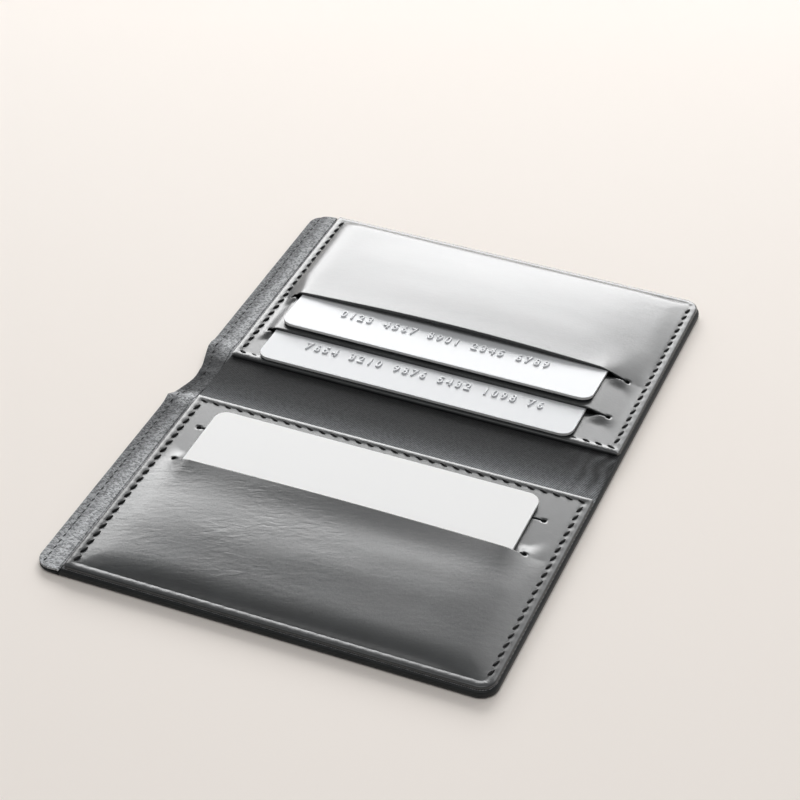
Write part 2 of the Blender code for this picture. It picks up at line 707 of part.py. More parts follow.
def print_fold():
    """Prints the joint places and travels that follow from the sizes, in millimetres."""
    print("fold axis height", round(FOLD_AXIS_HEIGHT / MM, 3))
    leads = {"blocking_card": (BLOCKING_PLANE, BLOCKING_CARD_LEAD, BLOCKING_CARD_DRAWN),
             "upper_card": (UPPER_PLANE, UPPER_CARD_LEAD, 0.0),
             "lower_card": (LOWER_PLANE, LOWER_CARD_LEAD, 0.0)}
    for name, (plane, lead, travel_in) in leads.items():
        out = SPINE_EDGE + lead - FOLD_GAP
        print(name, "tilt", round(math.degrees(plane.tilt()), 4), "in", round(travel_in / MM, 2),
              "out", round(out / MM, 2), "lead height", round(plane.under(lead) / MM, 3))


def main():
    clear_scene()
    near_face = Face("pocket_face_near", NEAR, (NEAR_LOWER_SLIT, NEAR_UPPER_SLIT),
                     (NEAR_SLIT_START, NEAR_SLIT_END),
                     (BLOCKING_CARD_LEFT, BLOCKING_CARD_LEFT + CARD_WIDTH),
                     (None, None, BLOCKING_PLANE), NEAR_UPPER_FLOOR, NEAR_CROWN, NEAR_LIP_CROWN_SHARE)
    far_face = Face("pocket_face_far", FAR, (FAR_LOWER_SLIT, FAR_UPPER_SLIT),
                    (FAR_SLIT_START, FAR_SLIT_END), (FAR_CARDS_LEFT, FAR_CARDS_RIGHT),
                    (None, LOWER_PLANE, UPPER_PLANE), FAR_UPPER_FLOOR, FAR_CROWN, FAR_LIP_CROWN_SHARE)
    wallet_half("near", NEAR, near_face, NEAR_LOWER_FLOOR, (None, BLOCKING_PLANE))
    wallet_half("far", FAR, far_face, FAR_LOWER_FLOOR, (LOWER_PLANE, UPPER_PLANE))
    blocking_card()
    payment_card("upper_card", UPPER_PLANE, UPPER_CARD_LEFT, UPPER_CARD_LEAD)
    payment_card("lower_card", LOWER_PLANE, LOWER_CARD_LEFT, LOWER_CARD_LEAD)
    print_fold()


main()
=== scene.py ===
# %% [markdown]
# # A card wallet with a signal blocking card
# The wallet is a bifold of dark finished leather. It lies open on its cover, and each half has a pocket
# panel with two slits. The near panel holds a plain white signal blocking card, and the far panel holds
# two payment cards with raised digits.
# The imported CAD model is the frame: it says where every piece is, and its bodies carry the
# pocket panels, their stitches, the slot cloths and the digits made here.

# %% Load the imported model
import math

import bmesh
import bpy
from mathutils import Matrix, Vector, noise


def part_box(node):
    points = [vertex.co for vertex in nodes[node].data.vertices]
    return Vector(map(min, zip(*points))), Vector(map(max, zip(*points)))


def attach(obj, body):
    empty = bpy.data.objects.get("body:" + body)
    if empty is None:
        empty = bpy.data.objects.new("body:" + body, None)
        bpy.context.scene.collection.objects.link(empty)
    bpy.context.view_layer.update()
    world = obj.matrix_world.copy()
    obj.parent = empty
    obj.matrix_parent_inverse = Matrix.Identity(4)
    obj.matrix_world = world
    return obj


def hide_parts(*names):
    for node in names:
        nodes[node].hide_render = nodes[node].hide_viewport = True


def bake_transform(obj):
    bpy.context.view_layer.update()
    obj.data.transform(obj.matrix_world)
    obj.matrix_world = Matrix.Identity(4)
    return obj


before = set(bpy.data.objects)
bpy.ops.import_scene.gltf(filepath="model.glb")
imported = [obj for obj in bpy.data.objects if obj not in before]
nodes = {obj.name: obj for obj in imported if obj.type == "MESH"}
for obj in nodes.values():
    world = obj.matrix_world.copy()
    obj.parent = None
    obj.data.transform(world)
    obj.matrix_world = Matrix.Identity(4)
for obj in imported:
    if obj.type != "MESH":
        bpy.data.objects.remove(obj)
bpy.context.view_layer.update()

print("solids:", len(nodes))

# %% [markdown]
# ## Sizes
# The wallet's layout is taken from the solids' own boxes. What a box can't tell, such as where the slits
# are, is repeated from the part's source in millimetres. In a panel, u runs from its left edge and v
# from its spine edge outwards, so the two halves share one set of formulas.

# %% Places of the panels and the cover
MM = 0.001
NEAR, FAR = -1, 1

face_low, face_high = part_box("pocket_face_near")
PANEL_LEFT = face_low.x
PANEL_WIDTH = face_high.x - face_low.x
PANEL_RIGHT = face_high.x
SPINE_EDGE = -face_high.y
PANEL_DEPTH = face_high.y - face_low.y
cover_low, cover_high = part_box("cover_near")
COVER_LEFT, COVER_RIGHT = cover_low.x, cover_high.x
COVER_REACH = -cover_low.y
COVER_CORNER = 4.5 * MM
PANEL_CORNER = 3.9 * MM
SEAM_CORNER = 1.2 * MM
SPINE_PINCH = 2.6 * MM
PINCH_REACH = 14.0 * MM
print("panel", round(PANEL_WIDTH / MM, 1), "x", round(PANEL_DEPTH / MM, 1), "mm")
print("gutter", round(2 * SPINE_EDGE / MM, 1), "mm, cover", round(2 * COVER_REACH / MM, 1), "mm long")

# %% Slits, cards and the heights of the sheets
SLITS = {NEAR: (12.6 * MM, 26.7 * MM), FAR: (13.2 * MM, 29.0 * MM)}
SLIT_ENDS = {NEAR: (6.2 * MM, 97.1 * MM), FAR: (5.2 * MM, 98.7 * MM)}
CARD_SPAN = {NEAR: (8.5 * MM, 94.1 * MM), FAR: (7.0 * MM, 93.1 * MM)}
SLIT_HALF = 0.25 * MM
PUNCH_RADIUS = 0.65 * MM
CARD_THICKNESS = 0.76 * MM
CARD_PLAY = 0.1 * MM
LIFT_PLAY = 0.3 * MM
FACE_LOW = 2.35 * MM
FACE_LEATHER = 0.7 * MM
LINER_TOP = 2.3 * MM
SLOT_LINER = 0.15 * MM
FLOORS = {NEAR: PANEL_DEPTH - 8.3 * MM, FAR: PANEL_DEPTH - 3.3 * MM}
LOWER_FLOOR = FLOORS[FAR] - 14.0 * MM


def under(plane, v):
    """Height of a card's underside at v, where plane is its lip's v and z and its fall for each metre."""
    v_lip, z_lip, fall = plane
    return z_lip - (v - v_lip) * fall


def plane_through(v_lip, z_lip, v_floor, z_floor):
    return v_lip, z_lip, (z_lip - z_floor) / (v_floor - v_lip)


strip_top = FACE_LOW + FACE_LEATHER
LOWER_CARD = plane_through(SLITS[FAR][0], strip_top + CARD_PLAY, LOWER_FLOOR, LINER_TOP + CARD_PLAY)
middle_top = under(LOWER_CARD, SLITS[FAR][1]) + CARD_THICKNESS + CARD_PLAY + FACE_LEATHER
lower_tail = under(LOWER_CARD, LOWER_FLOOR) + CARD_THICKNESS
UPPER_CARD = plane_through(SLITS[FAR][1], middle_top + CARD_PLAY,
                           LOWER_FLOOR, lower_tail + SLOT_LINER + 2 * CARD_PLAY)
BLOCKING_CARD = plane_through(SLITS[NEAR][1], strip_top + CARD_PLAY,
                              FLOORS[NEAR], FACE_LOW + SLOT_LINER + CARD_PLAY)
LIFTS = {NEAR: (None, None, BLOCKING_CARD), FAR: (None, LOWER_CARD, UPPER_CARD)}
for name, plane in (("lower", LOWER_CARD), ("upper", UPPER_CARD), ("blocking", BLOCKING_CARD)):
    print(name, "card tilt", round(math.degrees(math.atan(plane[2])), 2), "degrees")

# %% [markdown]
# ## Camera
# The photograph looks down at the open wallet from its front right, with a long lens. A least squares fit
# of the edges of the three standard cards, the panels and the cover gave the camera's place.

# %% Camera
AZIMUTH, ELEVATION, ROLL = (math.radians(angle) for angle in (20.87, 36.8, 1.7))
CAMERA_DISTANCE = 610.9 * MM
FOCAL_PIXELS, PICTURE_PIXELS, SENSOR_MM = 2409.72, 800, 36
LOOKED_AT = Vector((PANEL_LEFT + PANEL_WIDTH / 2 - 5.04 * MM, 8.59 * MM, 3.05 * MM))


def place_camera():
    """A long lens on the line that the fit to the photograph gave."""
    back = Vector((math.sin(AZIMUTH) * math.cos(ELEVATION),
                   -math.cos(AZIMUTH) * math.cos(ELEVATION), math.sin(ELEVATION)))
    level = Vector((math.cos(AZIMUTH), math.sin(AZIMUTH), 0))
    upright = back.cross(level)
    right = level * math.cos(ROLL) + upright * math.sin(ROLL)
    up = upright * math.cos(ROLL) - level * math.sin(ROLL)
    camera = bpy.data.objects.new("photo_camera", bpy.data.cameras.new("photo_camera"))
    camera.data.sensor_width = SENSOR_MM
    camera.data.lens = FOCAL_PIXELS * SENSOR_MM / PICTURE_PIXELS
    camera.data.clip_start = 0.01
    camera.data.clip_end = 100
    turn = Matrix((right, up, back)).transposed().to_4x4()
    camera.matrix_world = Matrix.Translation(LOOKED_AT + back * CAMERA_DISTANCE) @ turn
    bpy.context.scene.collection.objects.link(camera)
    bpy.context.scene.camera = camera
    return camera


camera = place_camera()
print("lens", round(camera.data.lens, 1), "mm, at", [round(c, 3) for c in camera.location])

# %% [markdown]
# ## Tools for materials
# Colours are written as sRGB hex values, as they are read off a picture, and one function turns them to
# linear light. One more function adds a node to a material. Pattern sizes are given in millimetres, and
# a texture's scale is how many of them fit in a metre.

# %% Colour and node helpers
def linear(hex_colour):
    """The linear colour that an sRGB hex value stands for."""
    shares = [int(hex_colour[i:i + 2], 16) / 255 for i in (1, 3, 5)]
    return [c / 12.92 if c <= 0.04045 else ((c + 0.055) / 1.055) ** 2.4 for c in shares] + [1.0]


def per_metre(size_mm):
    """A texture scale at which one pattern repeat has this size."""
    return 1 / (size_mm * MM)


def fill(tree, node, inputs):
    """Gives a node's sockets values, or the outputs that are linked to them."""
    for name, value in dict(inputs).items():
        if isinstance(value, bpy.types.NodeSocket):
            tree.links.new(value, node.inputs[name])
        else:
            node.inputs[name].default_value = value
    return node


def add(tree, kind, inputs=(), **settings):
    """Adds a node and fills its sockets."""
    made = tree.nodes.new(kind)
    for name, value in settings.items():
        setattr(made, name, value)
    return fill(tree, made, inputs)


def new_material(name, coordinates="Object"):
    """A material, its node tree, its Principled shader and the coordinates that its patterns follow."""
    made = bpy.data.materials.new(name)
    made.use_nodes = True
    tree = made.node_tree
    return made, tree, tree.nodes["Principled BSDF"], add(tree, "ShaderNodeTexCoord").outputs[coordinates]


print("black leather in linear light:", [round(c, 4) for c in linear("#2A2C2D")[:3]])

# %% Helpers for one kind of node each
WAVE_REPEATS = 3.2


def clouds(tree, place, size_mm, detail=2.0, distortion=0.0):
    """Soft noise whose bumps have this size."""
    return add(tree, "ShaderNodeTexNoise", {"Vector": place, "Scale": per_metre(size_mm), "Detail": detail,
                                            "Distortion": distortion}).outputs["Fac"]


def waves(tree, place, size_mm, distortion, fineness=1.0):
    """Ridges of this width; at scale 1 the texture has 3.2 of them in a metre."""
    return add(tree, "ShaderNodeTexWave", {"Vector": place, "Scale": per_metre(size_mm) / WAVE_REPEATS,
                                           "Distortion": distortion, "Detail": 2.0,
                                           "Detail Scale": fineness}).outputs["Fac"]


def turned(tree, place, degrees=0.0, x_scale=1.0):
    """Coordinates turned about Z, or ones whose pattern is drawn out along X."""
    return add(tree, "ShaderNodeMapping", {"Vector": place, "Rotation": (0, 0, math.radians(degrees)),
                                           "Scale": (x_scale, 1.0, 1.0)}).outputs["Vector"]


def tones(tree, share, dark, light, start=0.0, end=1.0):
    """A ramp from one hex colour to another."""
    ramp = add(tree, "ShaderNodeValToRGB", {"Fac": share})
    for stop, colour, position in zip(ramp.color_ramp.elements, (dark, light), (start, end)):
        stop.position, stop.color = position, linear(colour)
    return ramp.outputs["Color"]


def blended(tree, share, first, second):
    """A mix of two linear colours."""
    return add(tree, "ShaderNodeMix", {"Factor": share, 6: first, 7: second}, data_type="RGBA").outputs[2]


def ranged(tree, value, low, high, limits=(), **settings):
    """A value that runs from 0 to 1, or between other limits, drawn to a new low and high end."""
    sockets = {"Value": value, "To Min": low, "To Max": high, **dict(limits)}
    return add(tree, "ShaderNodeMapRange", sockets, **settings).outputs["Result"]


def maths(tree, operation, first, second=0.0):
    return add(tree, "ShaderNodeMath", {0: first, 1: second}, operation=operation).outputs["Value"]


def dented(tree, height, strength, depth_mm, beneath=None):
    """A bump of the surface, on top of the one beneath."""
    sockets = {"Height": height, "Strength": strength, "Distance": depth_mm * MM}
    if beneath is not None:
        sockets["Normal"] = beneath
    return add(tree, "ShaderNodeBump", sockets).outputs["Normal"]


print("node helpers ready, one wave repeats at scale", round(per_metre(1) / WAVE_REPEATS, 1), "for 1 mm")

# %% [markdown]
# ## Leather
# The wallet is smooth finished calf leather: drum dyed almost black, then sprayed with a thin clear
# polyurethane top coat and ironed. The dye gives a cool dark grey. The top coat gives a broad, soft gloss,
# and the ironed grain gives small dents about half a millimetre wide. Where the skin is bent over a
# card's edge it creases in long shallow lines, so that pattern is drawn out, laid askew, and switched on
# by an attribute that each piece carries. Turned edges are rubbed, so their coat is thin.

# %% Leather material
def leather(name, coordinates="Object", coat=1.0):
    made, tree, shader, place = new_material(name, coordinates)
    dye = clouds(tree, place, 9, 4.0)
    grain = add(tree, "ShaderNodeTexVoronoi", {"Vector": place, "Scale": per_metre(0.55)},
                feature="SMOOTH_F1").outputs["Distance"]
    pores = clouds(tree, place, 0.3, 3.0)
    lines = clouds(tree, turned(tree, turned(tree, place, -16), x_scale=0.4), 1.4, distortion=0.5)
    creased = add(tree, "ShaderNodeAttribute", attribute_name="creased").outputs["Fac"]
    folds = dented(tree, maths(tree, "MULTIPLY", lines, creased), 0.7, 0.1)
    skin = dented(tree, pores, 0.4, 0.015, dented(tree, grain, 0.35, 0.02, folds))
    fill(tree, shader, {"Base Color": tones(tree, dye, "#1F2122", "#2A2D2E", 0.35, 0.7),
                        "Roughness": ranged(tree, dye, 0.44, 0.56), "Specular IOR Level": 0.2,
                        "Coat Weight": coat, "Coat IOR": 1.6, "Coat Roughness": 0.26,
                        "Normal": skin, "Coat Normal": skin})
    return made


panel_leather = leather("finished_calf_leather")
cover_leather = leather("finished_calf_leather_on_cover", "UV")
edge_leather = leather("dull_turned_leather_edge", "UV", 0.12)
print("leather:", panel_leather.name, cover_leather.name, edge_leather.name)

# %% [markdown]
# ## Textiles
# Three polyester cloths line the wallet. The note pocket is lined with a grey melange twill, whose yarn
# is spun from light and dark fibres, so it looks speckled. The wall between the note pocket and the card
# pockets is a black twill with fine slanted ribs, and the slots are lined with a thinner dark one. A real
# rib is about 0.3 mm wide, which is near the size of a pixel here, so the ribs are drawn 0.45 to 0.5 mm
# wide. Light and shade are painted into the cloth: an attribute of each piece says how lit each place
# looks, and the material shows it as a lighter or darker tone, with painted shade in the folds and under
# the far panel, and painted highlights on the ridges and beside the panels.

# %% Twill material
FLECK_MM = 0.3
MIDDLE_YARN = 0.51
# How painted light and shade draw the dark and the light yarn tones, from shade to full light.
DARK_YARN_BY_PAINTED_LIGHT = (0.0, 0.35)
LIGHT_YARN_BY_PAINTED_LIGHT = (0.07, 1.0)


def twill(name, dark, light, rib_mm, speckle, half_range, coordinates="UV"):
    """A cloth of slanted ribs and spun fibres; half_range is how far its yarn spreads about the middle."""
    made, tree, shader, place = new_material(name, coordinates)
    ribs = waves(tree, turned(tree, place, 17), rib_mm, 1.2, 3.0)
    flecks = add(tree, "ShaderNodeTexVoronoi", {"Vector": turned(tree, place, x_scale=0.6),
                                                "Scale": per_metre(FLECK_MM)}).outputs["Color"]
    yarn = add(tree, "ShaderNodeMix", {"Factor": speckle, 2: ribs, 3: flecks}, data_type="FLOAT").outputs[0]
    # An attribute paints light and shade into the cloth: it draws both ends of the yarn's tones darker or
    # lighter.
    painted_light = add(tree, "ShaderNodeAttribute", attribute_name="painted_light").outputs["Fac"]
    shade = ranged(tree, yarn, ranged(tree, painted_light, *DARK_YARN_BY_PAINTED_LIGHT), ranged(tree, painted_light, *LIGHT_YARN_BY_PAINTED_LIGHT),
                   {"From Min": MIDDLE_YARN - half_range, "From Max": MIDDLE_YARN + half_range})
    fill(tree, shader, {"Base Color": tones(tree, shade, dark, light), "Roughness": 0.85,
                        "Sheen Weight": 0.06, "Sheen Roughness": 0.4,
                        "Normal": dented(tree, yarn, 0.6, 0.08)})
    return made


melange = twill("melange_polyester_twill", "#15171A", "#C9CBCD", 0.45, 0.85, 0.19)
black_twill = twill("black_polyester_twill", "#060708", "#8C8F92", 0.5, 0.5, 0.12)
liner_twill = twill("liner_polyester_twill", "#141516", "#3A3C3E", 0.5, 0.45, 0.15, "Object")
print("cloths:", melange.name, black_twill.name, liner_twill.name)

# %% [markdown]
# ## Thread
# The seams are sewn with bonded polyester thread, black and slightly waxy. Its three plies are twisted,
# which shows as slanted ridges.

# %% Thread material
def sewing_thread(name, colour, ply_mm):
    made, tree, shader, place = new_material(name)
    plies = waves(tree, turned(tree, place, 35), ply_mm, 0.4)
    fill(tree, shader, {"Base Color": tones(tree, plies, "#0B0C0D", colour), "Roughness": 0.55,
                        "Normal": dented(tree, plies, 0.5, 0.06)})
    return made


seam_thread = sewing_thread("bonded_polyester_thread", "#191A1B", 0.4)
hem_thread = sewing_thread("fine_polyester_thread", "#1C1D1F", 0.3)
print("threads:", seam_thread.name, hem_thread.name)

# %% [markdown]
# ## Tools for sheets
# Leather and cloth are flat goods cut to an outline, so each piece starts as a flat grid. Its lines stand
# close together where the sheet bends or is cut, and far apart where it is plain. The outer corners are
# then rounded by drawing the square corner block into a quarter disc, and the sheet is made solid. Only
# after that is it bent, by giving each point its height.

# %% Sheet helpers
def smooth_step(share):
    share = min(max(share, 0.0), 1.0)
    return share * share * (3 - 2 * share)


def bell(distance, width):
    """1 at no distance, falling to about a third at this width."""
    return math.exp(-(distance / width) ** 2)


def uneven(x, y, x_mm, y_mm, seed):
    """Smooth noise from -1 to 1, with bumps of this length and width."""
    return noise.noise(Vector((x / (x_mm * MM), y / (y_mm * MM), seed)))


def spread(start, end, step):
    """Evenly spaced places from start to end, no further apart than step."""
    count = max(1, math.ceil((end - start) / step - 1e-6))
    return [start + (end - start) * i / count for i in range(count + 1)]


def merged(places):
    """Sorted places, without those that nearly repeat the one before."""
    kept = []
    for place in sorted(places):
        if not kept or place - kept[-1] > 0.02 * MM:
            kept.append(place)
    return kept


def lined_grid(xs, ys):
    """A flat grid whose lines stand at the given places."""
    bm = bmesh.new()
    bmesh.ops.create_grid(bm, x_segments=len(xs) - 1, y_segments=len(ys) - 1, size=0.5)
    for vert in bm.verts:
        column = round((vert.co.x + 0.5) * (len(xs) - 1))
        row = round((vert.co.y + 0.5) * (len(ys) - 1))
        vert.co = (xs[column], ys[row], 0)
    return bm


def round_corner(co, corner, radius, sign_x, sign_y):
    """Draws a point of the square block at a corner into a quarter disc."""
    centre = corner[0] - sign_x * radius, corner[1] - sign_y * radius
    a = (co.x - centre[0]) * sign_x / radius
    b = (co.y - centre[1]) * sign_y / radius
    if a > 0 and b > 0:
        co.x = centre[0] + sign_x * radius * a * math.sqrt(1 - b * b / 2)
        co.y = centre[1] + sign_y * radius * b * math.sqrt(1 - a * a / 2)


def make_solid(bm, thickness):
    """Thickens a flat sheet from z = 0 down, so its skin stays at z = 0."""
    bmesh.ops.recalc_face_normals(bm, faces=bm.faces)
    if bm.faces[0].normal.z < 0:
        bmesh.ops.reverse_faces(bm, faces=bm.faces)
    bmesh.ops.solidify(bm, geom=bm.faces[:], thickness=thickness)
    bmesh.ops.recalc_face_normals(bm, faces=bm.faces)


def edge_drop(distance, radius):
    """How far a rounded edge lies below the skin at a distance from the cut."""
    reach = radius - max(distance, 0.0)
    return radius - math.sqrt(radius * radius - reach * reach) if reach > 0 else 0.0


def finished_piece(name, bm, material, sharp_angle=50):
    """A mesh object with a smooth skin whose hard edges stay crisp."""
    mesh = bpy.data.meshes.new(name)
    bm.to_mesh(mesh)
    bm.free()
    mesh.materials.append(material)
    mesh.shade_smooth()
    mesh.set_sharp_from_angle(angle=math.radians(sharp_angle))
    obj = bpy.data.objects.new(name, mesh)
    bpy.context.scene.collection.objects.link(obj)
    return obj


print("sheets start at z = 0, and a 0.3 mm round edge drops", round(edge_drop(0, 0.3), 2), "mm at its cut")

# %% [markdown]
# ## Pocket panels
# Each panel is one piece of leather, slit twice. On three sides its edge is turned under and sewn down,
# which leaves a raised rim outside a fine groove; the outer edge is glued and only shows its round crest.
# A round hole is punched at each end of a slit so that it can't tear. The cards push the leather up
# between the slits' ends, and the far panel's upper lip has stretched with use and stands open. The skin
# is pared thin where it falls over a card's edges, so it follows a softer shape than the flesh side,
# which keeps clear of the card. The groove, the puckers of the seam and soft waves are added to the skin.

# %% How a panel is lifted
# A reach is how far a shape takes to build up from the seam or the lip, and a power is how fast it does.
SEAM_INSET = 2.1 * MM
LIP_BOW = {NEAR: 0.5 * MM, FAR: 1.4 * MM}
BOW_REACH = 12 * MM
LIP_SIDES = {NEAR: ((8.5 * MM, 1.5), (12 * MM, 1.5)), FAR: ((5.6 * MM, 1.3), (13 * MM, 1.3))}
SIDE_REACH = 14 * MM
FLESH_FALL = 4.5 * MM
DOME_SIDES = {NEAR: ((30 * MM, 3), (22 * MM, 2.5)), FAR: ((12 * MM, 5), (22 * MM, 2.2))}
DOME_FULLNESS = {NEAR: 1.24, FAR: 1.12}
SEWN_START = {NEAR: 6 * MM, FAR: 1 * MM}
SEWN_REACH = {NEAR: 19 * MM, FAR: 32 * MM}
ROLL_OVER = {NEAR: (12 * MM, 4), FAR: (8.3 * MM, 9)}
LOWER_LIP_REACH = 4 * MM


def inside_panel(u, v):
    """Distance from the panel's edge, whose outer right corner is round."""
    along = min(u, PANEL_WIDTH - u, v, PANEL_DEPTH - v)
    a, b = u - (PANEL_WIDTH - PANEL_CORNER), v - (PANEL_DEPTH - PANEL_CORNER)
    return PANEL_CORNER - math.hypot(a, b) if a > 0 and b > 0 else along


def convex(share, power):
    """Rises fast from 0 and levels out at 1."""
    return 1 - (1 - min(max(share, 0.0), 1.0)) ** power


def flesh_share(side, u):
    """How the flesh side rises across a panel: fully up at the card's edges, and down soon beside them."""
    left, right = CARD_SPAN[side][0] - LIFT_PLAY, CARD_SPAN[side][1] + LIFT_PLAY
    return smooth_step(1 - (left - u) / FLESH_FALL) * smooth_step(1 - (u - right) / FLESH_FALL)


def skin_share(side, u, v):
    """How the skin rises: pared thin over the card's edges at the lip, and a full dome further in."""
    lip, dome, past_lip = 1.0, 1.0, v - SLITS[side][1]
    sides = zip((u, PANEL_WIDTH - u), LIP_SIDES[side], DOME_SIDES[side])
    for place, (lip_reach, lip_power), (dome_reach, dome_power) in sides:
        lip *= smooth_step((place - SEAM_INSET) / lip_reach) ** lip_power
        dome *= convex((place - SEAM_INSET) / dome_reach, dome_power)
    full = 1 + (DOME_FULLNESS[side] - 1) * smooth_step((past_lip - SEWN_START[side]) / SEWN_REACH[side])
    return full * (lip + (dome - lip) * convex(past_lip / SIDE_REACH, 2))


def roll_over(side, v, is_skin):
    """Share of the lift that is left towards the outer seam, where the pocket ends."""
    end = PANEL_DEPTH - SEAM_INSET
    if is_skin:
        reach, power = ROLL_OVER[side]
        return 1 - min(max(1 - (end - v) / reach, 0.0), 1.0) ** power
    start = FLOORS[side] + CARD_PLAY
    return 1 - smooth_step((v - start) / (end - start))


def bow(side, u, v):
    """How far the upper lip stands open in its middle; the near lip's bow falls off right behind it."""
    start, end = CARD_SPAN[side]
    across = math.sin(math.pi * min(max((u - start) / (end - start), 0.0), 1.0))
    share = min(max((v - SLITS[side][1]) / (FLOORS[side] - SLITS[side][1]), 0.0), 1.0)
    behind = max(1 - (v - SLITS[side][1]) / BOW_REACH, 0.0) ** 2
    along = math.cos(math.pi * share / 2) if side == FAR else min(behind, 1.0)
    return LIP_BOW[side] * across * along


def level(side, strip, u, v, is_skin):
    """Height that a card gives a strip of the leather, as if the strip ran on past its slit."""
    plane = LIFTS[side][strip]
    if plane is None:
        return 0.0
    height = under(plane, min(v, FLOORS[side] + CARD_PLAY)) + CARD_THICKNESS + CARD_PLAY - FACE_LOW
    if strip == 2:
        height = height * roll_over(side, v, is_skin) + bow(side, u, v)
    if not is_skin:
        return height * flesh_share(side, u)
    return height * skin_share(side, u, v if strip == 2 else 0.0)


def held_by(side, number, u, v):
    """How far a place follows the strip past a slit: fully past it, and near the slit's ends before it."""
    slit, (start, end) = SLITS[side][number], SLIT_ENDS[side]
    if v >= slit:
        return 1.0
    free = (CARD_SPAN[side][0] - LIFT_PLAY - start, end - CARD_SPAN[side][1] - LIFT_PLAY)
    past_end = min(smooth_step((u - start) / free[0]), smooth_step((end - u) / free[1]))
    outside = max(start - u, u - end, 0.0)
    return (1 - past_end) * (1 - smooth_step((slit - v) / (LOWER_LIP_REACH + outside)))


def lift(side, u, v, is_skin=True):
    """Height that the cards give the leather at a place, on its skin or on its flesh side."""
    levels = [level(side, strip, u, v, is_skin) for strip in range(3)]
    height = levels[0]
    for number in range(2):
        height += (levels[number + 1] - levels[number]) * held_by(side, number, u, v)
    return height


for side, label in ((NEAR, "near"), (FAR, "far")):
    top = FACE_LOW + FACE_LEATHER + lift(side, PANEL_WIDTH / 2, SLITS[side][1])
    print(label, "upper lip stands", round(top / MM, 2), "mm high at its middle")

# %% Rim, groove and waves of a panel's skin
STITCH_PITCH = 3.2 * MM
WELT_RISE = 0.14 * MM
FLAT_WELT_RISE = 0.03 * MM
WELT_CREST = 1.15 * MM
WELT_WIDTH = 1.9 * MM
WELT_FALL = 0.24 * MM
GROOVE_DEPTH = 0.05 * MM
GROOVE_WIDTH = 0.5 * MM
PUCKER = 0.022 * MM
PUCKER_WIDTH = 0.9 * MM
EDGE_ROUND = 0.3 * MM
LIP_ROUND = 0.14 * MM
# How far behind the rim and the lip the waves start, and over what length they grow.
RIM_CLEAR, RIM_FADE = 3 * MM, 6 * MM
LIP_CLEAR, LIP_FADE = 4 * MM, 12 * MM
# Each wave's length and width in millimetres, its seed and its height.
SKIN_WAVES = ((28, 13, 7.3, 0.2 * MM), (11, 5, 3.1, 0.03 * MM))


def pucker(u, v):
    """The leather swells between two stitches, most of all right beside the seam."""
    along = u if min(v, PANEL_DEPTH - v) < min(u, PANEL_WIDTH - u) else v
    near_seam = bell(inside_panel(u, v) - SEAM_INSET + 0.5 * MM, PUCKER_WIDTH)
    return PUCKER * near_seam * math.cos(2 * math.pi * (along - SEAM_INSET / 2) / STITCH_PITCH)


def seam_profile(u, v):
    """The turned edge's welt, full at the left and the spine, and the groove that the thread pulls in."""
    inside = inside_panel(u, v)
    groove = GROOVE_DEPTH * bell(inside - SEAM_INSET, GROOVE_WIDTH)
    flat = smooth_step((min(u, v) - min(PANEL_WIDTH - u, PANEL_DEPTH - v)) / (3 * MM) + 0.5)
    rise = WELT_RISE + (FLAT_WELT_RISE - WELT_RISE) * flat
    welt = rise * (1 - smooth_step((inside - WELT_CREST) / WELT_WIDTH))
    return welt - WELT_FALL * max(1 - inside / WELT_CREST, 0.0) ** 2 - groove + pucker(u, v)


def cut_distance(side, u, v):
    """Distance from the nearest slit or punched hole."""
    start, end = SLIT_ENDS[side]
    found = 1.0
    for slit in SLITS[side]:
        if start <= u <= end:
            found = min(found, abs(v - slit) - SLIT_HALF)
        for place in (start, end):
            found = min(found, math.hypot(u - place, v - slit) - PUNCH_RADIUS)
    return max(found, 0.0)


def skin_waves(side, u, v):
    """Soft waves that keep away from the rim and the lip, and only ever lift the leather off the card."""
    fade = smooth_step((inside_panel(u, v) - RIM_CLEAR) / RIM_FADE)
    fade *= smooth_step((v - SLITS[side][1] - LIP_CLEAR) / LIP_FADE)
    return fade * sum(height * (0.5 + 0.5 * uneven(u, v, length, width, side * seed))
                      for length, width, seed, height in SKIN_WAVES)


def crease_share(side, u, v):
    """Where the skin has creased: in patches past the lip, most of all at the near panel's left."""
    patchy = 0.6 + 0.5 * uneven(u, v, 14, 9, 5.1)
    calmed = 1 - 0.6 * smooth_step((u - 30 * MM) / (40 * MM)) if side == NEAR else 0.25
    return smooth_step((v - SLITS[side][1]) / (3 * MM)) * patchy * calmed


print("seam runs", SEAM_INSET / MM, "mm in, one stitch each", STITCH_PITCH / MM, "mm")

# %% Lines of a panel's grid
RIM_LINES = [0, 0.1 * MM, 0.22 * MM, 0.4 * MM, 0.8 * MM, 1.2 * MM, 1.5 * MM, 1.75 * MM, 1.95 * MM,
             2.1 * MM, 2.25 * MM, 2.45 * MM, 2.75 * MM, 3.2 * MM, PANEL_CORNER]
LIP_LINES = [SLIT_HALF, 0.3 * MM, 0.4 * MM, PUNCH_RADIUS, 0.9 * MM, 1.15 * MM]
HOLE_REACH = 1.15 * MM
FIELD_STEP = 0.65 * MM


def field_lines(length, cuts):
    """Rim lines at both ends, the lines that each cut needs, and even ones between."""
    fixed = set(RIM_LINES) | {length - line for line in RIM_LINES}
    for cut in cuts:
        fixed |= {cut + line for line in LIP_LINES} | {cut - line for line in LIP_LINES}
    fixed = merged(fixed)
    lines = []
    for start, end in zip(fixed, fixed[1:]):
        lines += spread(start, end, FIELD_STEP)
    return merged(lines)


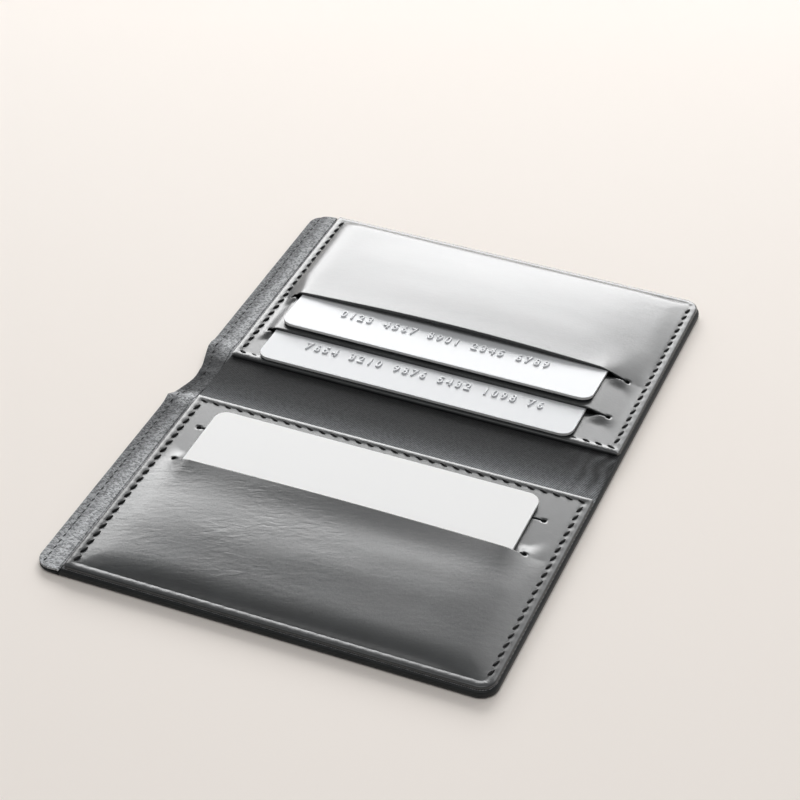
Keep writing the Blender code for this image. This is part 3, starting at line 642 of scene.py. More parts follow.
def round_hole(co, u, v):
    """Draws the square lines round a punched hole into circles."""
    across, along = co.x - u, co.y - v
    square = max(abs(across), abs(along))
    if 0 < square < HOLE_REACH:
        ratio = square / math.hypot(across, along)
        ratio += (1 - ratio) * smooth_step((square - PUNCH_RADIUS) / (HOLE_REACH - PUNCH_RADIUS))
        co.x, co.y = u + across * ratio, v + along * ratio


def is_cut_away(side, u, v):
    """True inside a slit or a punched hole, before the holes are drawn round."""
    start, end = SLIT_ENDS[side]
    for slit in SLITS[side]:
        if start < u < end and abs(v - slit) < SLIT_HALF:
            return True
        if abs(v - slit) < PUNCH_RADIUS and min(abs(u - start), abs(u - end)) < PUNCH_RADIUS:
            return True
    return False


print("panel grid:", len(field_lines(PANEL_WIDTH, SLIT_ENDS[NEAR])), "by",
      len(field_lines(PANEL_DEPTH, SLITS[NEAR])), "lines")

# %% Pocket panels
def pocket_panel(name, side, body):
    bm = lined_grid(field_lines(PANEL_WIDTH, SLIT_ENDS[side]), field_lines(PANEL_DEPTH, SLITS[side]))
    gone = [f for f in bm.faces if is_cut_away(side, *f.calc_center_median()[:2])]
    bmesh.ops.delete(bm, geom=gone, context="FACES")
    for vert in bm.verts:
        round_corner(vert.co, (PANEL_WIDTH, PANEL_DEPTH), PANEL_CORNER, 1, 1)
        round_corner(vert.co, (PANEL_WIDTH, 0), SEAM_CORNER, 1, -1)
        round_corner(vert.co, (0, 0), SEAM_CORNER, -1, -1)
        round_corner(vert.co, (0, PANEL_DEPTH), SEAM_CORNER, -1, 1)
        for slit in SLITS[side]:
            for end in SLIT_ENDS[side]:
                round_hole(vert.co, end, slit)
    make_solid(bm, FACE_LEATHER)
    creased = bm.verts.layers.float.new("creased")
    for vert in bm.verts:
        u, v, top = vert.co.x, vert.co.y, vert.co.z > -FACE_LEATHER / 2
        height = FACE_LOW + FACE_LEATHER + vert.co.z + lift(side, u, v, top) + skin_waves(side, u, v)
        if top:
            rounded = edge_drop(inside_panel(u, v), EDGE_ROUND)
            rounded += edge_drop(cut_distance(side, u, v), LIP_ROUND)
            height += seam_profile(u, v) - rounded
        vert[creased] = crease_share(side, u, v)
        vert.co = (PANEL_LEFT + u, side * (SPINE_EDGE + v), height)
    bmesh.ops.recalc_face_normals(bm, faces=bm.faces)
    panel = finished_piece(name, bm, panel_leather)
    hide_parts(f"pocket_face_{'near' if side == NEAR else 'far'}")
    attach(panel, body)
    print(name, len(panel.data.polygons), "faces")


pocket_panel("near_pocket_panel", NEAR, "near_half")
pocket_panel("far_pocket_panel", FAR, "far_half")

# %% [markdown]
# ## Seam stitches
# The thread lies in the groove in short slanted strokes, one each 3.2 mm, and dives into the leather at
# both ends of each stroke. One stroke is a small drawn-out ball whose ends are bent down, so a few dozen
# faces are enough, and all the strokes of a panel are one piece.

# %% Stitch helpers
def stitch(bm, place, along, length, thickness, slant, dip):
    """One stroke of thread at a place on the skin, along a direction in the plane."""
    made = bmesh.ops.create_uvsphere(bm, u_segments=8, v_segments=6, radius=1.0)["verts"]
    turn = math.atan2(along[1], along[0]) + slant
    for vert in made:
        x, y, z = vert.co.z * length / 2, vert.co.x * thickness / 2, vert.co.y * thickness / 2
        z -= dip * (2 * x / length) ** 2
        vert.co = (place[0] + x * math.cos(turn) - y * math.sin(turn),
                   place[1] + x * math.sin(turn) + y * math.cos(turn), place[2] + z)


def seam_run(start, end, pitch):
    """Middles of the stitches between two places, one near each pitch."""
    count = round(abs(end - start) / pitch)
    return [start + (end - start) * (i + 0.5) / count for i in range(count)]


print("stitches on a long side:", len(seam_run(SEAM_INSET, PANEL_WIDTH - SEAM_INSET, STITCH_PITCH)))

# %% Stitches round the panels
# The length, thickness, slant and dip of one stitch.
SEAM_STITCH = (2.6 * MM, 0.72 * MM, math.radians(-20), 0.22 * MM)
# How high the thread's middle stands over the skin.
THREAD_AT_SIDES, THREAD_AT_SPINE, THREAD_UNDER_CARD = 0.18 * MM, 0.05 * MM, -0.14 * MM


def thread_middle(side, u, v):
    """Low along the spine, and pulled into the leather where the lower card lies on the seam."""
    if v != SEAM_INSET:
        return THREAD_AT_SIDES
    left, right = CARD_SPAN[FAR]
    covered = side == FAR and left - 2 * MM < u < right + 1.4 * MM
    return THREAD_UNDER_CARD if covered else THREAD_AT_SPINE


def panel_stitches(name, side, body):
    bm = bmesh.new()
    first, outer, right = 1.7 * SEAM_INSET, PANEL_DEPTH - SEAM_INSET, PANEL_WIDTH - SEAM_INSET
    spine_row = seam_run(SEAM_INSET / 2, PANEL_WIDTH - SEAM_INSET / 2, STITCH_PITCH)
    runs = [(u, SEAM_INSET, (1, 0)) for u in spine_row]
    runs += [(SEAM_INSET, v, (0, 1)) for v in seam_run(first, outer, STITCH_PITCH)]
    runs += [(right, v, (0, 1)) for v in seam_run(first, PANEL_DEPTH - PANEL_CORNER, STITCH_PITCH)]
    for u, v, (du, dv) in runs:
        skin = FACE_LOW + FACE_LEATHER + lift(side, u, v) + seam_profile(u, v)
        place = (PANEL_LEFT + u, side * (SPINE_EDGE + v), skin + thread_middle(side, u, v))
        stitch(bm, place, (du, side * dv), *SEAM_STITCH)
    thread = finished_piece(name, bm, seam_thread, 180)
    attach(thread, body)
    print(name, len(runs), "stitches")


panel_stitches("near_seam_thread", NEAR, "near_half")
panel_stitches("far_seam_thread", FAR, "far_half")

# %% [markdown]
# ## Cover
# The cover is one hide of leather that runs round the spine. Along its outer edges and its right end it is
# rolled over the lining and sewn down, so those edges are full and round, and along the left end, where
# notes go in, it ends under a cloth hem. At the spine the left end is drawn in, because the leather there
# is gathered when the wallet is shut. It is one sheet.

# %% Outline helpers of the cover
EDGE_LINES = [0, 0.1 * MM, 0.25 * MM, 0.45 * MM, 0.7 * MM, 1.0 * MM, 1.4 * MM, 1.9 * MM, 2.25 * MM,
              2.4 * MM, 3.0 * MM, 3.7 * MM, COVER_CORNER]
FINE_REACH = 10 * MM
PULL_REACH = 12 * MM
PLAIN_STEP = 4 * MM


def draw_in(co):
    """Moves a point near the left edge inwards at the spine, less and less further to the right."""
    w = abs(co.y)
    pinch = SPINE_PINCH * (1 + math.cos(math.pi * w / PINCH_REACH)) / 2 if w < PINCH_REACH else 0.0
    co.x += pinch * (1 - smooth_step((co.x - COVER_LEFT) / PULL_REACH))


def inside_cover(x, y, count_left=True):
    """Distance from the cover's edge, with round outer corners; the left edge can be left out."""
    from_outer = COVER_REACH - abs(y)
    from_ends = [COVER_RIGHT - x, x - COVER_LEFT] if count_left else [COVER_RIGHT - x]
    for from_end in from_ends:
        a, b = COVER_CORNER - from_end, COVER_CORNER - from_outer
        if a > 0 and b > 0:
            return COVER_CORNER - math.hypot(a, b)
    return min(from_outer, *from_ends)


def spine_lines(reach, edges, step=PLAIN_STEP, fine=0.5 * MM):
    """Lines across the spine: fine ones where the sheet bends, and edge lines at both ends."""
    lines = [s * (reach - line) for line in edges for s in (-1, 1)]
    plain = spread(FINE_REACH, reach - edges[-1], step)
    return merged(lines + spread(-FINE_REACH, FINE_REACH, fine) + plain + [-line for line in plain])


def round_ends(co, *ends):
    """Rounds the outer corners of the cover's right end (1), its left end (-1) or both."""
    for end in ends:
        for sign_y in (-1, 1):
            corner = (COVER_RIGHT if end > 0 else COVER_LEFT, sign_y * COVER_REACH)
            round_corner(co, corner, COVER_CORNER, end, sign_y)


def paint_light_and_shade(bm, share_at):
    """Paints light and shade into the cloth: how much lighter each place is drawn."""
    painted_light = bm.verts.layers.float.new("painted_light")
    for vert in bm.verts:
        vert[painted_light] = share_at(vert.co.x, vert.co.y)


def flat_map(bm):
    """A UV map that keeps each point's flat place in metres, so patterns follow the sheet as it bends."""
    layer = bm.loops.layers.uv.new("flat_place")
    for face in bm.faces:
        for loop in face.loops:
            loop[layer].uv = (loop.vert.co.x, loop.vert.co.y)


def cut_cloth(bm, thickness, light_at):
    """Makes a flat cloth solid, and gives it its map and its painted light and shade."""
    make_solid(bm, thickness)
    flat_map(bm)
    paint_light_and_shade(bm, light_at)


def bend_at_spine(obj):
    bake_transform(obj)


# %% Cover leather
COVER_TOP = 0.9 * MM
ROLL_TOP = 1.85 * MM
ROLL_WIDTH = 2.3 * MM
ROLL_STEP = 0.12 * MM
ROLL_FROM_LEFT = 6.9 * MM
ROLL_START = 0.25 * MM
ROLL_RIPPLE = 0.05 * MM
ROLLED_ROUND = 0.7 * MM
HEM_END_ROUND = 0.4 * MM


def roll_height(x, y):
    """Height of the cover's upper skin: the plain leather, or the edge rolled over on top of it."""
    rolled = 1 - smooth_step((inside_cover(x, y, count_left=False) - ROLL_WIDTH) / ROLL_STEP)
    rolled *= smooth_step((x - COVER_LEFT - ROLL_FROM_LEFT) / ROLL_START)
    return COVER_TOP + (ROLL_TOP - COVER_TOP + ROLL_RIPPLE * uneven(x, y, 7, 7, 4.2)) * rolled


def cover():
    xs = [COVER_LEFT + line for line in EDGE_LINES] + [COVER_RIGHT - line for line in EDGE_LINES]
    xs += spread(COVER_LEFT + COVER_CORNER, COVER_RIGHT - COVER_CORNER, PLAIN_STEP)
    xs += [COVER_LEFT + ROLL_FROM_LEFT + line * MM for line in (0, 0.12, 0.25)]
    bm = lined_grid(merged(xs), spine_lines(COVER_REACH, EDGE_LINES))
    for vert in bm.verts:
        round_ends(vert.co, 1, -1)
    make_solid(bm, COVER_TOP)
    flat_map(bm)
    for face in bm.faces:
        face.material_index = int(face.calc_center_median().z > -0.9 * COVER_TOP)
    creased = bm.verts.layers.float.new("creased")
    for vert in bm.verts:
        x, y, top = vert.co.x, vert.co.y, vert.co.z > -COVER_TOP / 2
        vert[creased] = 0.5 + 0.5 * uneven(x, y, 16, 11, 8.6)
        edge = inside_cover(x, y)
        drop = edge_drop(edge, ROLLED_ROUND if x > COVER_LEFT + ROLL_FROM_LEFT else HEM_END_ROUND)
        vert.co.z = roll_height(x, y) - drop if top else 0.6 * edge_drop(edge, ROLLED_ROUND)
        draw_in(vert.co)
    leather_cover = finished_piece("cover_leather", bm, cover_leather)
    leather_cover.data.materials.append(edge_leather)
    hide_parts("cover_near", "cover_far", "cover_turn_in_near", "cover_turn_in_far")
    bend_at_spine(leather_cover)
    print("cover", len(leather_cover.data.polygons), "faces")


cover()

# %% [markdown]
# ## Lining, hem and note wall
# The note pocket is lined with melange twill. Its left edge is folded back over itself into a hem, which
# is the grey strip beside the panels. Where the wallet folds, the cloth of the hem is squeezed into soft
# ridges. The wall between the note pocket and the card pockets is a black twill that shows in the gutter,
# where it is slack and gathers towards the sewn right end. Each cloth is flat goods that lies on the
# sheet below it, so it is shaped by formulas.

# %% Lining
LINING = 0.2 * MM
LINING_TOP = 1.6 * MM
MARGIN_TOP = 1.2 * MM
MARGIN_END = COVER_LEFT + 9 * MM
HEM_WIDTH = 6.6 * MM
HEM = 0.25 * MM
LINING_INSET = 2.5 * MM
UNDER_ROLL = 2.4 * MM
LINING_WAVE = 0.06 * MM
HEM_DIP_START, HEM_DIP_LENGTH = 1 * MM, 5 * MM
RIDGE_LENGTH, RIDGE_FADE = 4 * MM, 8 * MM
# Where the painted highlight on the hem's slope beside the panel starts, and over what length it grows.
SLOPE_LIGHT_START, SLOPE_LIGHT_GROWTH = 3.2 * MM, 1.6 * MM
# The share of painted light at places along y, in millimetres: painted shade inside the fold, painted
# highlights on the ridges' far slopes, and lighter towards the near end.
MARGIN_LIGHT_AND_SHADE = ((-76, 0.95), (-66, 0.75), (-45, 0.6), (-30, 0.42), (-16, 0.26), (-13, 0.5), (-10, 0.85),
               (-7, 0.1), (7, 0.0), (11, 0.35), (15, 0.8), (19, 0.55), (45, 0.5), (60, 0.45), (82, 0.45))
# The place along y, the width and the height of each ridge, in millimetres.
MARGIN_RIDGES = ((-11.8, 1.6, 1.1), (12.8, 2.0, 0.8), (1.5, 1.6, 0.35))


def lit(steps, place):
    """Share of painted light at a place, read between the steps of a list in millimetres."""
    place = min(max(place / MM, steps[0][0]), steps[-1][0])
    for (start, low), (end, high) in zip(steps, steps[1:]):
        if place <= end:
            return low + (high - low) * (place - start) / (end - start)
    return steps[-1][1]


def margin_light_and_shade(x, y):
    """Painted light on the margin: painted shade inside the fold, painted highlights on the ridges and on
    the hem's slope beside the panel.
    """
    beside_panel = smooth_step((x - COVER_LEFT - SLOPE_LIGHT_START) / SLOPE_LIGHT_GROWTH)
    return min(lit(MARGIN_LIGHT_AND_SHADE, y) * (0.9 + 0.9 * beside_panel), 1.0)


def margin_ridges(x, y):
    """The squeezed cloth in the left margin at the spine, which fades out to the right."""
    fade = 1 - smooth_step((x - COVER_LEFT - RIDGE_LENGTH) / RIDGE_FADE)
    ridges = (height * MM * bell(y - place * MM, width * MM) for place, width, height in MARGIN_RIDGES)
    return fade * sum(ridges)


def lining_height(x, y):
    """The lining's upper side, which lies lower under the hem."""
    under_hem = 1 - smooth_step((x - COVER_LEFT - HEM_DIP_START) / HEM_DIP_LENGTH)
    wave = LINING_WAVE * uneven(x, y, 9, 13, 1.7)
    return LINING_TOP - (LINING_TOP - MARGIN_TOP) * under_hem + wave + margin_ridges(x, y)


def margin_lines():
    beside_edge = spread(COVER_LEFT + COVER_CORNER, MARGIN_END, 0.6 * MM)
    return [COVER_LEFT + line for line in EDGE_LINES] + beside_edge


def lining():
    xs = merged(margin_lines() + spread(MARGIN_END, COVER_RIGHT - LINING_INSET, PLAIN_STEP))
    bm = lined_grid(xs, spine_lines(COVER_REACH, EDGE_LINES, 2 * MM))
    outside = [f for f in bm.faces if f.calc_center_median().x > COVER_LEFT + ROLL_FROM_LEFT
               and abs(f.calc_center_median().y) > COVER_REACH - UNDER_ROLL]
    bmesh.ops.delete(bm, geom=outside, context="FACES")
    for vert in bm.verts:
        round_ends(vert.co, -1)
    cut_cloth(bm, LINING, margin_light_and_shade)
    for vert in bm.verts:
        vert.co.z += lining_height(vert.co.x, vert.co.y)
        draw_in(vert.co)
    cloth = finished_piece("note_pocket_lining", bm, melange)
    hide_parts("cover_lining_near", "cover_lining_far")
    bend_at_spine(cloth)
    return cloth


print("lining is worn most at", max(MARGIN_LIGHT_AND_SHADE, key=lambda step: step[1])[0], "mm along the margin")

# %% Hem and its stitches
HEM_SEAM = 2.0 * MM
HEM_PITCH = 2.4 * MM
HEM_STITCH = (1.8 * MM, 0.36 * MM, math.radians(-8), 0.14 * MM)
HEM_GROOVE_DEPTH, HEM_GROOVE_WIDTH = 0.14 * MM, 0.4 * MM
HEM_GAP = 0.02 * MM
HEM_ROUND = 0.15 * MM
HEM_SEAM_END = 1.5 * MM
HEM_THREAD_MIDDLE = 0.04 * MM


def hem_height(x, y):
    groove = HEM_GROOVE_DEPTH * bell(x - COVER_LEFT - HEM_SEAM, HEM_GROOVE_WIDTH)
    return lining_height(x, y) + HEM + HEM_GAP - groove


def hem():
    xs = merged([x for x in margin_lines() if x < COVER_LEFT + HEM_WIDTH - 0.5 * MM]
                + [COVER_LEFT + HEM_WIDTH - step * MM for step in (0.4, 0.2, 0.08, 0)])
    bm = lined_grid(xs, spine_lines(COVER_REACH, EDGE_LINES, 2 * MM))
    for vert in bm.verts:
        round_ends(vert.co, -1)
    cut_cloth(bm, HEM, margin_light_and_shade)
    for vert in bm.verts:
        x, y, top = vert.co.x, vert.co.y, vert.co.z > -HEM / 2
        edge = min(inside_cover(x, y), COVER_LEFT + HEM_WIDTH - x)
        vert.co.z += hem_height(x, y) - (edge_drop(edge, HEM_ROUND) if top else 0)
        draw_in(vert.co)
    cloth = finished_piece("note_pocket_hem", bm, melange)
    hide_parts("cover_hem_near", "cover_hem_far")
    bend_at_spine(cloth)
    return cloth


def hem_stitches():
    bm = bmesh.new()
    x = COVER_LEFT + HEM_SEAM
    for y in seam_run(-COVER_REACH + HEM_SEAM_END, COVER_REACH - HEM_SEAM_END, HEM_PITCH):
        place = Vector((x, y, hem_height(x, y) + HEM_THREAD_MIDDLE))
        draw_in(place)
        stitch(bm, place, (0, 1), *HEM_STITCH)
    thread = finished_piece("hem_thread", bm, hem_thread, 180)
    bend_at_spine(thread)
    return thread


margin_hem, margin_thread, pocket_lining = hem(), hem_stitches(), lining()
print("lining", len(pocket_lining.data.polygons), "faces")

# %% Note pocket wall
DIVIDER = 0.2 * MM
DIVIDER_TOP = 2.1 * MM
GATHER_HEIGHT = 0.17 * MM
GATHER_PITCH = 3.4 * MM
GATHER_REACH, GATHER_GROWTH = 14 * MM, 12 * MM
SLACK = 0.2 * MM
SAG = 0.12 * MM
OPEN_HALF, OPEN_FADE = 6.5 * MM, 2.8 * MM
# The share of painted light at places along y, in millimetres, and where it grows along x: painted shade
# under the far panel, lighter beside the near panel and towards the right.
GUTTER_LIGHT_AND_SHADE = ((-9, 1.0), (-7, 0.62), (-5, 0.36), (-2, 0.17), (1, 0.07), (4, 0.02), (9, 0.0))
GUTTER_LIGHT_START, GUTTER_LIGHT_GROWTH = -10 * MM, 60 * MM


def gather_share(x):
    """The wall's cloth is gathered towards its sewn right end."""
    return smooth_step((x - PANEL_RIGHT + GATHER_REACH) / GATHER_GROWTH)


def gather_ripple(x, y):
    """Folds that run along the right edge, from -1 in a dip to 1 on a crest."""
    return math.sin(2 * math.pi * (x / GATHER_PITCH + 0.5 * uneven(x, y, 4, 6, 0)))


def gutter_light_and_shade(x, y):
    """Painted light on the wall: painted shade under the far panel, lighter beside the near panel, and
    painted highlights on the gathers' crests.
    """
    lit_share = lit(GUTTER_LIGHT_AND_SHADE, y) * (0.85 + 0.45 * smooth_step((x - GUTTER_LIGHT_START) / GUTTER_LIGHT_GROWTH))
    # Painted highlights on the gathers' crests and painted shade in their dips.
    return min(max(lit_share + 0.16 * gather_share(x) * gather_ripple(x, y), 0.0), 1.0)


def wall_height(x, y):
    """The wall's upper side: slack in the gutter, and gathers that grow towards the right end."""
    open_share = 1 - smooth_step((abs(y) - OPEN_HALF) / OPEN_FADE)
    swell = 0.5 + 0.5 * uneven(x, y, 15, 5, 2.9)
    folds = GATHER_HEIGHT * gather_share(x) * (1 + gather_ripple(x, y))
    return DIVIDER_TOP + open_share * (folds + SLACK * swell - SAG)


def note_wall():
    reach = SPINE_EDGE + PANEL_DEPTH
    corner = [0, 0.3 * MM, 0.8 * MM, 1.5 * MM, 2.3 * MM, 3.1 * MM, PANEL_CORNER]
    xs = spread(PANEL_LEFT, PANEL_RIGHT - PANEL_CORNER, 0.9 * MM) + [PANEL_RIGHT - line for line in corner]
    bm = lined_grid(merged(xs), spine_lines(reach, corner, 8 * MM, 0.45 * MM))
    for vert in bm.verts:
        for sign_y in (-1, 1):
            round_corner(vert.co, (PANEL_RIGHT, sign_y * reach), PANEL_CORNER, 1, sign_y)
    cut_cloth(bm, DIVIDER, gutter_light_and_shade)
    for vert in bm.verts:
        vert.co.z += wall_height(vert.co.x, vert.co.y)
    cloth = finished_piece("note_pocket_wall", bm, black_twill)
    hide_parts("note_divider_near", "note_divider_far")
    bend_at_spine(cloth)
    return cloth


print("note wall", len(note_wall().data.polygons), "faces")

# %% [markdown]
# ## Slot liners
# Behind each slit hangs a tongue of thin twill, sewn to the leather at the slit and to the panel at its
# floor. The card slides in on top of it.

# %% Slot liners
LINER_START = 0.4 * MM
LINER_STEP = 1.5 * MM
LINER_SAG = 0.03 * MM


def slot_liner(name, side, slit, floor, plane):
    start = slit + LINER_START
    left, right = CARD_SPAN[side][0] - LIFT_PLAY, CARD_SPAN[side][1] + LIFT_PLAY
    bm = lined_grid(spread(left, right, LINER_STEP), spread(start, floor, LINER_STEP))
    make_solid(bm, SLOT_LINER)
    for vert in bm.verts:
        u, v = vert.co.x, vert.co.y
        top = LINER_TOP if plane is None else under(plane, v) - CARD_PLAY
        sag = abs(LINER_SAG * uneven(u, v, 12, 12, side + slit * 50))
        vert.co = (PANEL_LEFT + u, side * (SPINE_EDGE + v), vert.co.z + top - sag)
    bmesh.ops.recalc_face_normals(bm, faces=bm.faces)
    cloth = finished_piece(name.replace("slot_liner", "slot_cloth"), bm, liner_twill)
    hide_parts(name)
    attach(cloth, "near_half" if side == NEAR else "far_half")


near_lower_floor = FLOORS[NEAR] - (SLITS[NEAR][1] - SLITS[NEAR][0])
slot_liner("lower_slot_liner_near", NEAR, SLITS[NEAR][0], near_lower_floor, None)
slot_liner("upper_slot_liner_near", NEAR, SLITS[NEAR][1], FLOORS[NEAR], BLOCKING_CARD)
slot_liner("lower_slot_liner_far", FAR, SLITS[FAR][0], LOWER_FLOOR, LOWER_CARD)
slot_liner("upper_slot_liner_far", FAR, SLITS[FAR][1], FLOORS[FAR], UPPER_CARD)
print("four slot liners")

# %% [markdown]
# ## Cards
# All three are standard cards, laminated from PVC sheets under heat. The blocking card has a plain matt
# white film on both sides. The payment cards have a satin pale film, a gold contact plate and, on the
# back, a black magnetic stripe. Their solids have the right shape, layer by layer, so they stay and get
# their finish here.

# %% Card materials
def laminated_film(name, colour, roughness):
    """PVC film pressed between polished or brushed plates: even colour, with a faint orange-peel skin."""
    made, tree, shader, place = new_material(name)
    clear = linear(colour)
    clouded = [c * 0.97 for c in clear[:3]] + [1.0]
    fill(tree, shader, {"Base Color": blended(tree, clouds(tree, place, 30), clear, clouded),
                        "Normal": dented(tree, clouds(tree, place, 2.2), 0.25, 0.02),
                        "Roughness": roughness})
    return made


white_film = laminated_film("matt_white_pvc_film", "#EFEFEE", 0.5)
upper_film = laminated_film("satin_white_pvc_film", "#DFE1E3", 0.35)
lower_film = laminated_film("satin_silver_pvc_film", "#D2D4D6", 0.35)
core = laminated_film("white_pvc_core", "#E2E2E0", 0.6)
print("films:", white_film.name, upper_film.name, lower_film.name, core.name)

# %% [markdown]
# ## What lies inside the cards
# The contact plate is copper foil on glass fabric, plated with nickel and then a thin hard gold. Etched
# lines part it into four outer fields and a middle one. The stripe is magnetic ink. The blocking card's
# antenna is etched copper, and its chip sits under a black moulded cap. The cover's board is pressed from
# grey leather fibre. Most of these only show when a card is drawn out, or not at all.

# %% Contact plate and inner materials
HALF_FIELD = 2.95 * MM
COLUMN_AT = 2.2 * MM
HALF_LINE = 0.1 * MM


def etched_gold(name, centre):
    """Hard gold on nickel: a warm, softly brushed metal, with lines etched between its fields."""
    made, tree, shader, place = new_material(name)
    local = add(tree, "ShaderNodeMapping", {"Vector": place, "Location": [-c for c in centre]})
    axes = add(tree, "ShaderNodeSeparateXYZ", {"Vector": local.outputs["Vector"]})
    rows = maths(tree, "PINGPONG", axes.outputs["Y"], HALF_FIELD)
    across = maths(tree, "ABSOLUTE", axes.outputs["X"])
    from_column = maths(tree, "ABSOLUTE", maths(tree, "SUBTRACT", across, COLUMN_AT))
    row_lines = maths(tree, "MULTIPLY", maths(tree, "LESS_THAN", rows, HALF_LINE),
                      maths(tree, "GREATER_THAN", across, COLUMN_AT))
    etched = maths(tree, "MAXIMUM", row_lines, maths(tree, "LESS_THAN", from_column, HALF_LINE))
    strokes = clouds(tree, turned(tree, place, x_scale=0.08), 0.25)
    fill(tree, shader, {"Base Color": blended(tree, etched, linear("#CFB27C"), linear("#6E5B33")),
                        "Roughness": ranged(tree, strokes, 0.2, 0.36), "Metallic": 1.0})
    return made


def plain_stock(name, dark, light, grain_mm, roughness, metallic=0.0, dent_mm=0.02):
    """A mottled material for the inner pieces: two near tones, and dents of the same size."""
    made, tree, shader, place = new_material(name)
    mottle = clouds(tree, place, grain_mm, 4.0)
    fill(tree, shader, {"Base Color": tones(tree, mottle, dark, light, 0.3, 0.7), "Roughness": roughness,
                        "Metallic": metallic, "Normal": dented(tree, mottle, 0.5, dent_mm)})
    return made


fibre_board = plain_stock("leather_fibre_board", "#6A6259", "#857B70", 1.2, 0.9, dent_mm=0.1)
copper = plain_stock("etched_copper", "#B4683F", "#C67A50", 0.6, 0.35, metallic=1.0)
chip_cap = plain_stock("moulded_epoxy_cap", "#131313", "#1E1E1F", 0.3, 0.5)
magnetic_ink = plain_stock("magnetic_ink", "#16120F", "#1D1815", 0.2, 0.3)
print("inner materials:", fibre_board.name, copper.name, chip_cap.name, magnetic_ink.name)

# %% Finish of the solids that stay
finishes = {"cover_board_near": fibre_board, "cover_board_far": fibre_board,
            "blocking_card_antenna_coil": copper, "blocking_card_jamming_chip": chip_cap}
finishes |= {f"blocking_card_{layer}": white_film for layer in ("back_overlay", "front_overlay")}
finishes |= {f"blocking_card_{layer}": core for layer in ("back_core", "inlay_sheet", "front_core")}
for card, film in (("upper_card", upper_film), ("lower_card", lower_film)):
    low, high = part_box(f"{card}_contact_plate")
    finishes[f"{card}_contact_plate"] = etched_gold(f"hard_gold_on_{card}", (low + high) / 2)
    finishes |= {f"{card}_magnetic_stripe": magnetic_ink, f"{card}_core": core,
                 f"{card}_back_overlay": film, f"{card}_front_overlay": film}
for name, material in finishes.items():
    for slot in nodes[name].material_slots:
        slot.material = material
print("finished solids:", len(finishes))

# %% [markdown]
# ## Raised digits
# A payment card's digits are pressed up from behind with a pair of steel dies, and their tops are tipped
# with grey foil. Each digit here is a text curve, thickened and rounded, made a mesh, narrowed to a
# card's spacing, and stood on its card's tilted face. They are a plain run of digits that means nothing.

# %% Raised digits
DIGIT_PITCH = 2.45 * MM
DIGIT_HEIGHT = 3.0 * MM
DIGIT_RISE = 0.4 * MM
TEXT_DIGIT_HEIGHT = 0.73
TEXT_EXTRUDE, TEXT_BEVEL = 0.05, 0.03
TEXT_WIDTH_SCALE = 1.05
WELD = 0.002 * MM


def digit_mesh(character):
    """One digit as a mesh in unit size, half above the XY plane and half below it."""
    curve = bpy.data.curves.new("digit", "FONT")
    curve.body = character
    curve.size = 1.0
    curve.align_x = "CENTER"
    curve.extrude = TEXT_EXTRUDE
    curve.bevel_depth = TEXT_BEVEL
    curve.bevel_resolution = 1
    curve.resolution_u = 3
    carrier = bpy.data.objects.new("digit", curve)
    bpy.context.scene.collection.objects.link(carrier)
    bpy.context.view_layer.update()
    mesh = bpy.data.meshes.new_from_object(carrier.evaluated_get(bpy.context.evaluated_depsgraph_get()))
    bpy.data.objects.remove(carrier)
    bpy.data.curves.remove(curve)
    return mesh


def raised_digits(name, text, plane, corner, start, material, body):
    """A line of digits on a card of the far panel, placed by the card's leading left corner."""
    (card_left, lead), (first, rise) = corner, start
    drawn = {c: digit_mesh(c) for c in sorted(set(text) - {" "})}
    base = lead + rise
    top = under(plane, base) + CARD_THICKNESS
    tilt = Matrix.Rotation(-math.atan(plane[2]), 4, "X")
    size = Matrix.Diagonal((DIGIT_HEIGHT * TEXT_WIDTH_SCALE, DIGIT_HEIGHT / TEXT_DIGIT_HEIGHT,
                            DIGIT_RISE / (TEXT_EXTRUDE + TEXT_BEVEL), 1))
    bm = bmesh.new()
    for number, character in enumerate(text):
        if character != " ":
            place = (PANEL_LEFT + card_left + first + number * DIGIT_PITCH, SPINE_EDGE + base, top)
            stand = Matrix.Translation(place) @ tilt @ size
            drawn[character].transform(stand)
            bm.from_mesh(drawn[character])
            drawn[character].transform(stand.inverted())
    bmesh.ops.remove_doubles(bm, verts=bm.verts, dist=WELD)
    bmesh.ops.recalc_face_normals(bm, faces=bm.faces)
    digits = finished_piece(name, bm, material, 40)
    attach(digits, body)
    print(name, len(digits.data.polygons), "faces")


digit_film = laminated_film("tipped_pvc_digits", "#D6D8DA", 0.35)
raised_digits("upper_card_digits", "0123 4567 8901 2345 6789", UPPER_CARD, (7.5 * MM, 14.92 * MM),
              (14 * MM, 8.8 * MM), digit_film, "upper_card")
raised_digits("lower_card_digits", "7654 3210 9876 5432 1098 76", LOWER_CARD, (7.0 * MM, 0.92 * MM),
              (11 * MM, 7.6 * MM), digit_film, "lower_card")

# %% [markdown]
# ## Floor, world and lamps
# The floor is a plain pale sheet a little below the cover, and belongs to the stage and not to the wallet.
# A large softbox stands low behind the wallet, to the left, so that the far panel mirrors it and turns
# pale, as in the photograph. A smaller one stands higher beside it and lights the panels' right parts, and
# a third hangs overhead and in front. The world is bright at the horizon behind the wallet and dim in
# front, so slopes that face the viewer stay dark.

# %% Stage and light
FLOOR_SIZE = 6.0
FLOOR_GAP = 0.05 * MM


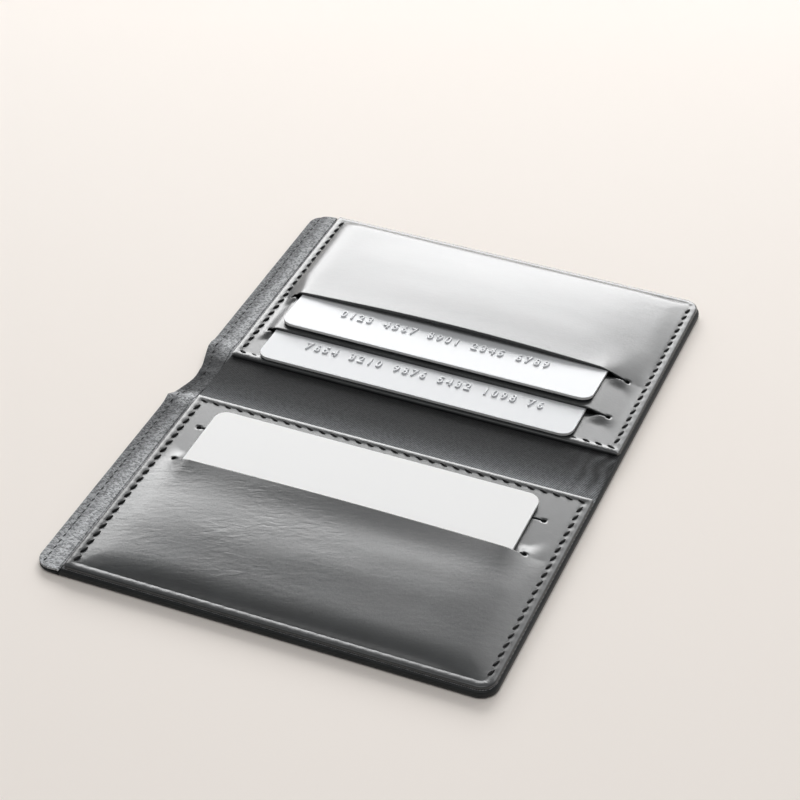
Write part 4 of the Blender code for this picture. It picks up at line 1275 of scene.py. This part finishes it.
def pale_floor():
    made, tree, shader, place = new_material("pale_floor_paint")
    fill(tree, shader, {"Base Color": tones(tree, clouds(tree, place, 180), "#F4ECE4", "#F6EFE8"),
                        "Roughness": 0.7})
    bm = bmesh.new()
    bmesh.ops.create_grid(bm, x_segments=2, y_segments=2, size=FLOOR_SIZE)
    bmesh.ops.translate(bm, vec=(0, 0, -FLOOR_GAP), verts=bm.verts)
    floor = finished_piece("pale_floor", bm, made)


def soft_world():
    """A studio dome: white at the horizon behind the wallet, a calm grey overhead, and dim in front."""
    world = bpy.data.worlds.new("pale_studio")
    world.use_nodes = True
    tree = world.node_tree
    way = add(tree, "ShaderNodeTexCoord").outputs["Generated"]
    axes = add(tree, "ShaderNodeSeparateXYZ", {"Vector": way})
    level = ranged(tree, axes.outputs["Z"], 0.95, 0.3, {"From Min": 0.0, "From Max": 0.6},
                   interpolation_type="SMOOTHSTEP")
    side = ranged(tree, axes.outputs["Y"], 0.35, 1.0, {"From Min": -0.7, "From Max": 0.3},
                  interpolation_type="SMOOTHSTEP")
    fill(tree, tree.nodes["Background"], {"Color": linear("#FBFBFC"),
                                          "Strength": maths(tree, "MULTIPLY", level, side)})
    bpy.context.scene.world = world


def softbox(name, azimuth, elevation, distance, width, height, radiance):
    """A flat lamp that faces the wallet; azimuth 0 is straight behind it and 90 to its left."""
    lamp = bpy.data.lights.new(name, "AREA")
    lamp.shape = "RECTANGLE"
    lamp.size, lamp.size_y = width, height
    lamp.energy = radiance * math.pi * width * height
    a, e = math.radians(azimuth), math.radians(elevation)
    way = Vector((-math.sin(a) * math.cos(e), math.cos(a) * math.cos(e), math.sin(e)))
    obj = bpy.data.objects.new(name, lamp)
    obj.matrix_world = Matrix.Translation(way * distance) @ way.to_track_quat("Z", "Y").to_matrix().to_4x4()
    bpy.context.scene.collection.objects.link(obj)
    level = radiance * width * height / distance ** 2 * math.sin(e) / math.pi
    print(name, "level on the table", round(level, 3))


pale_floor()
soft_world()
softbox("window_softbox", 20, 25, 1.4, 1.15, 0.66, 7.0)
softbox("fill_softbox", -14, 41, 1.6, 0.6, 0.5, 2.5)
softbox("overhead_softbox", 200, 75, 1.6, 1.2, 1.2, 1.6)
bpy.context.scene.view_settings.view_transform = "Standard"
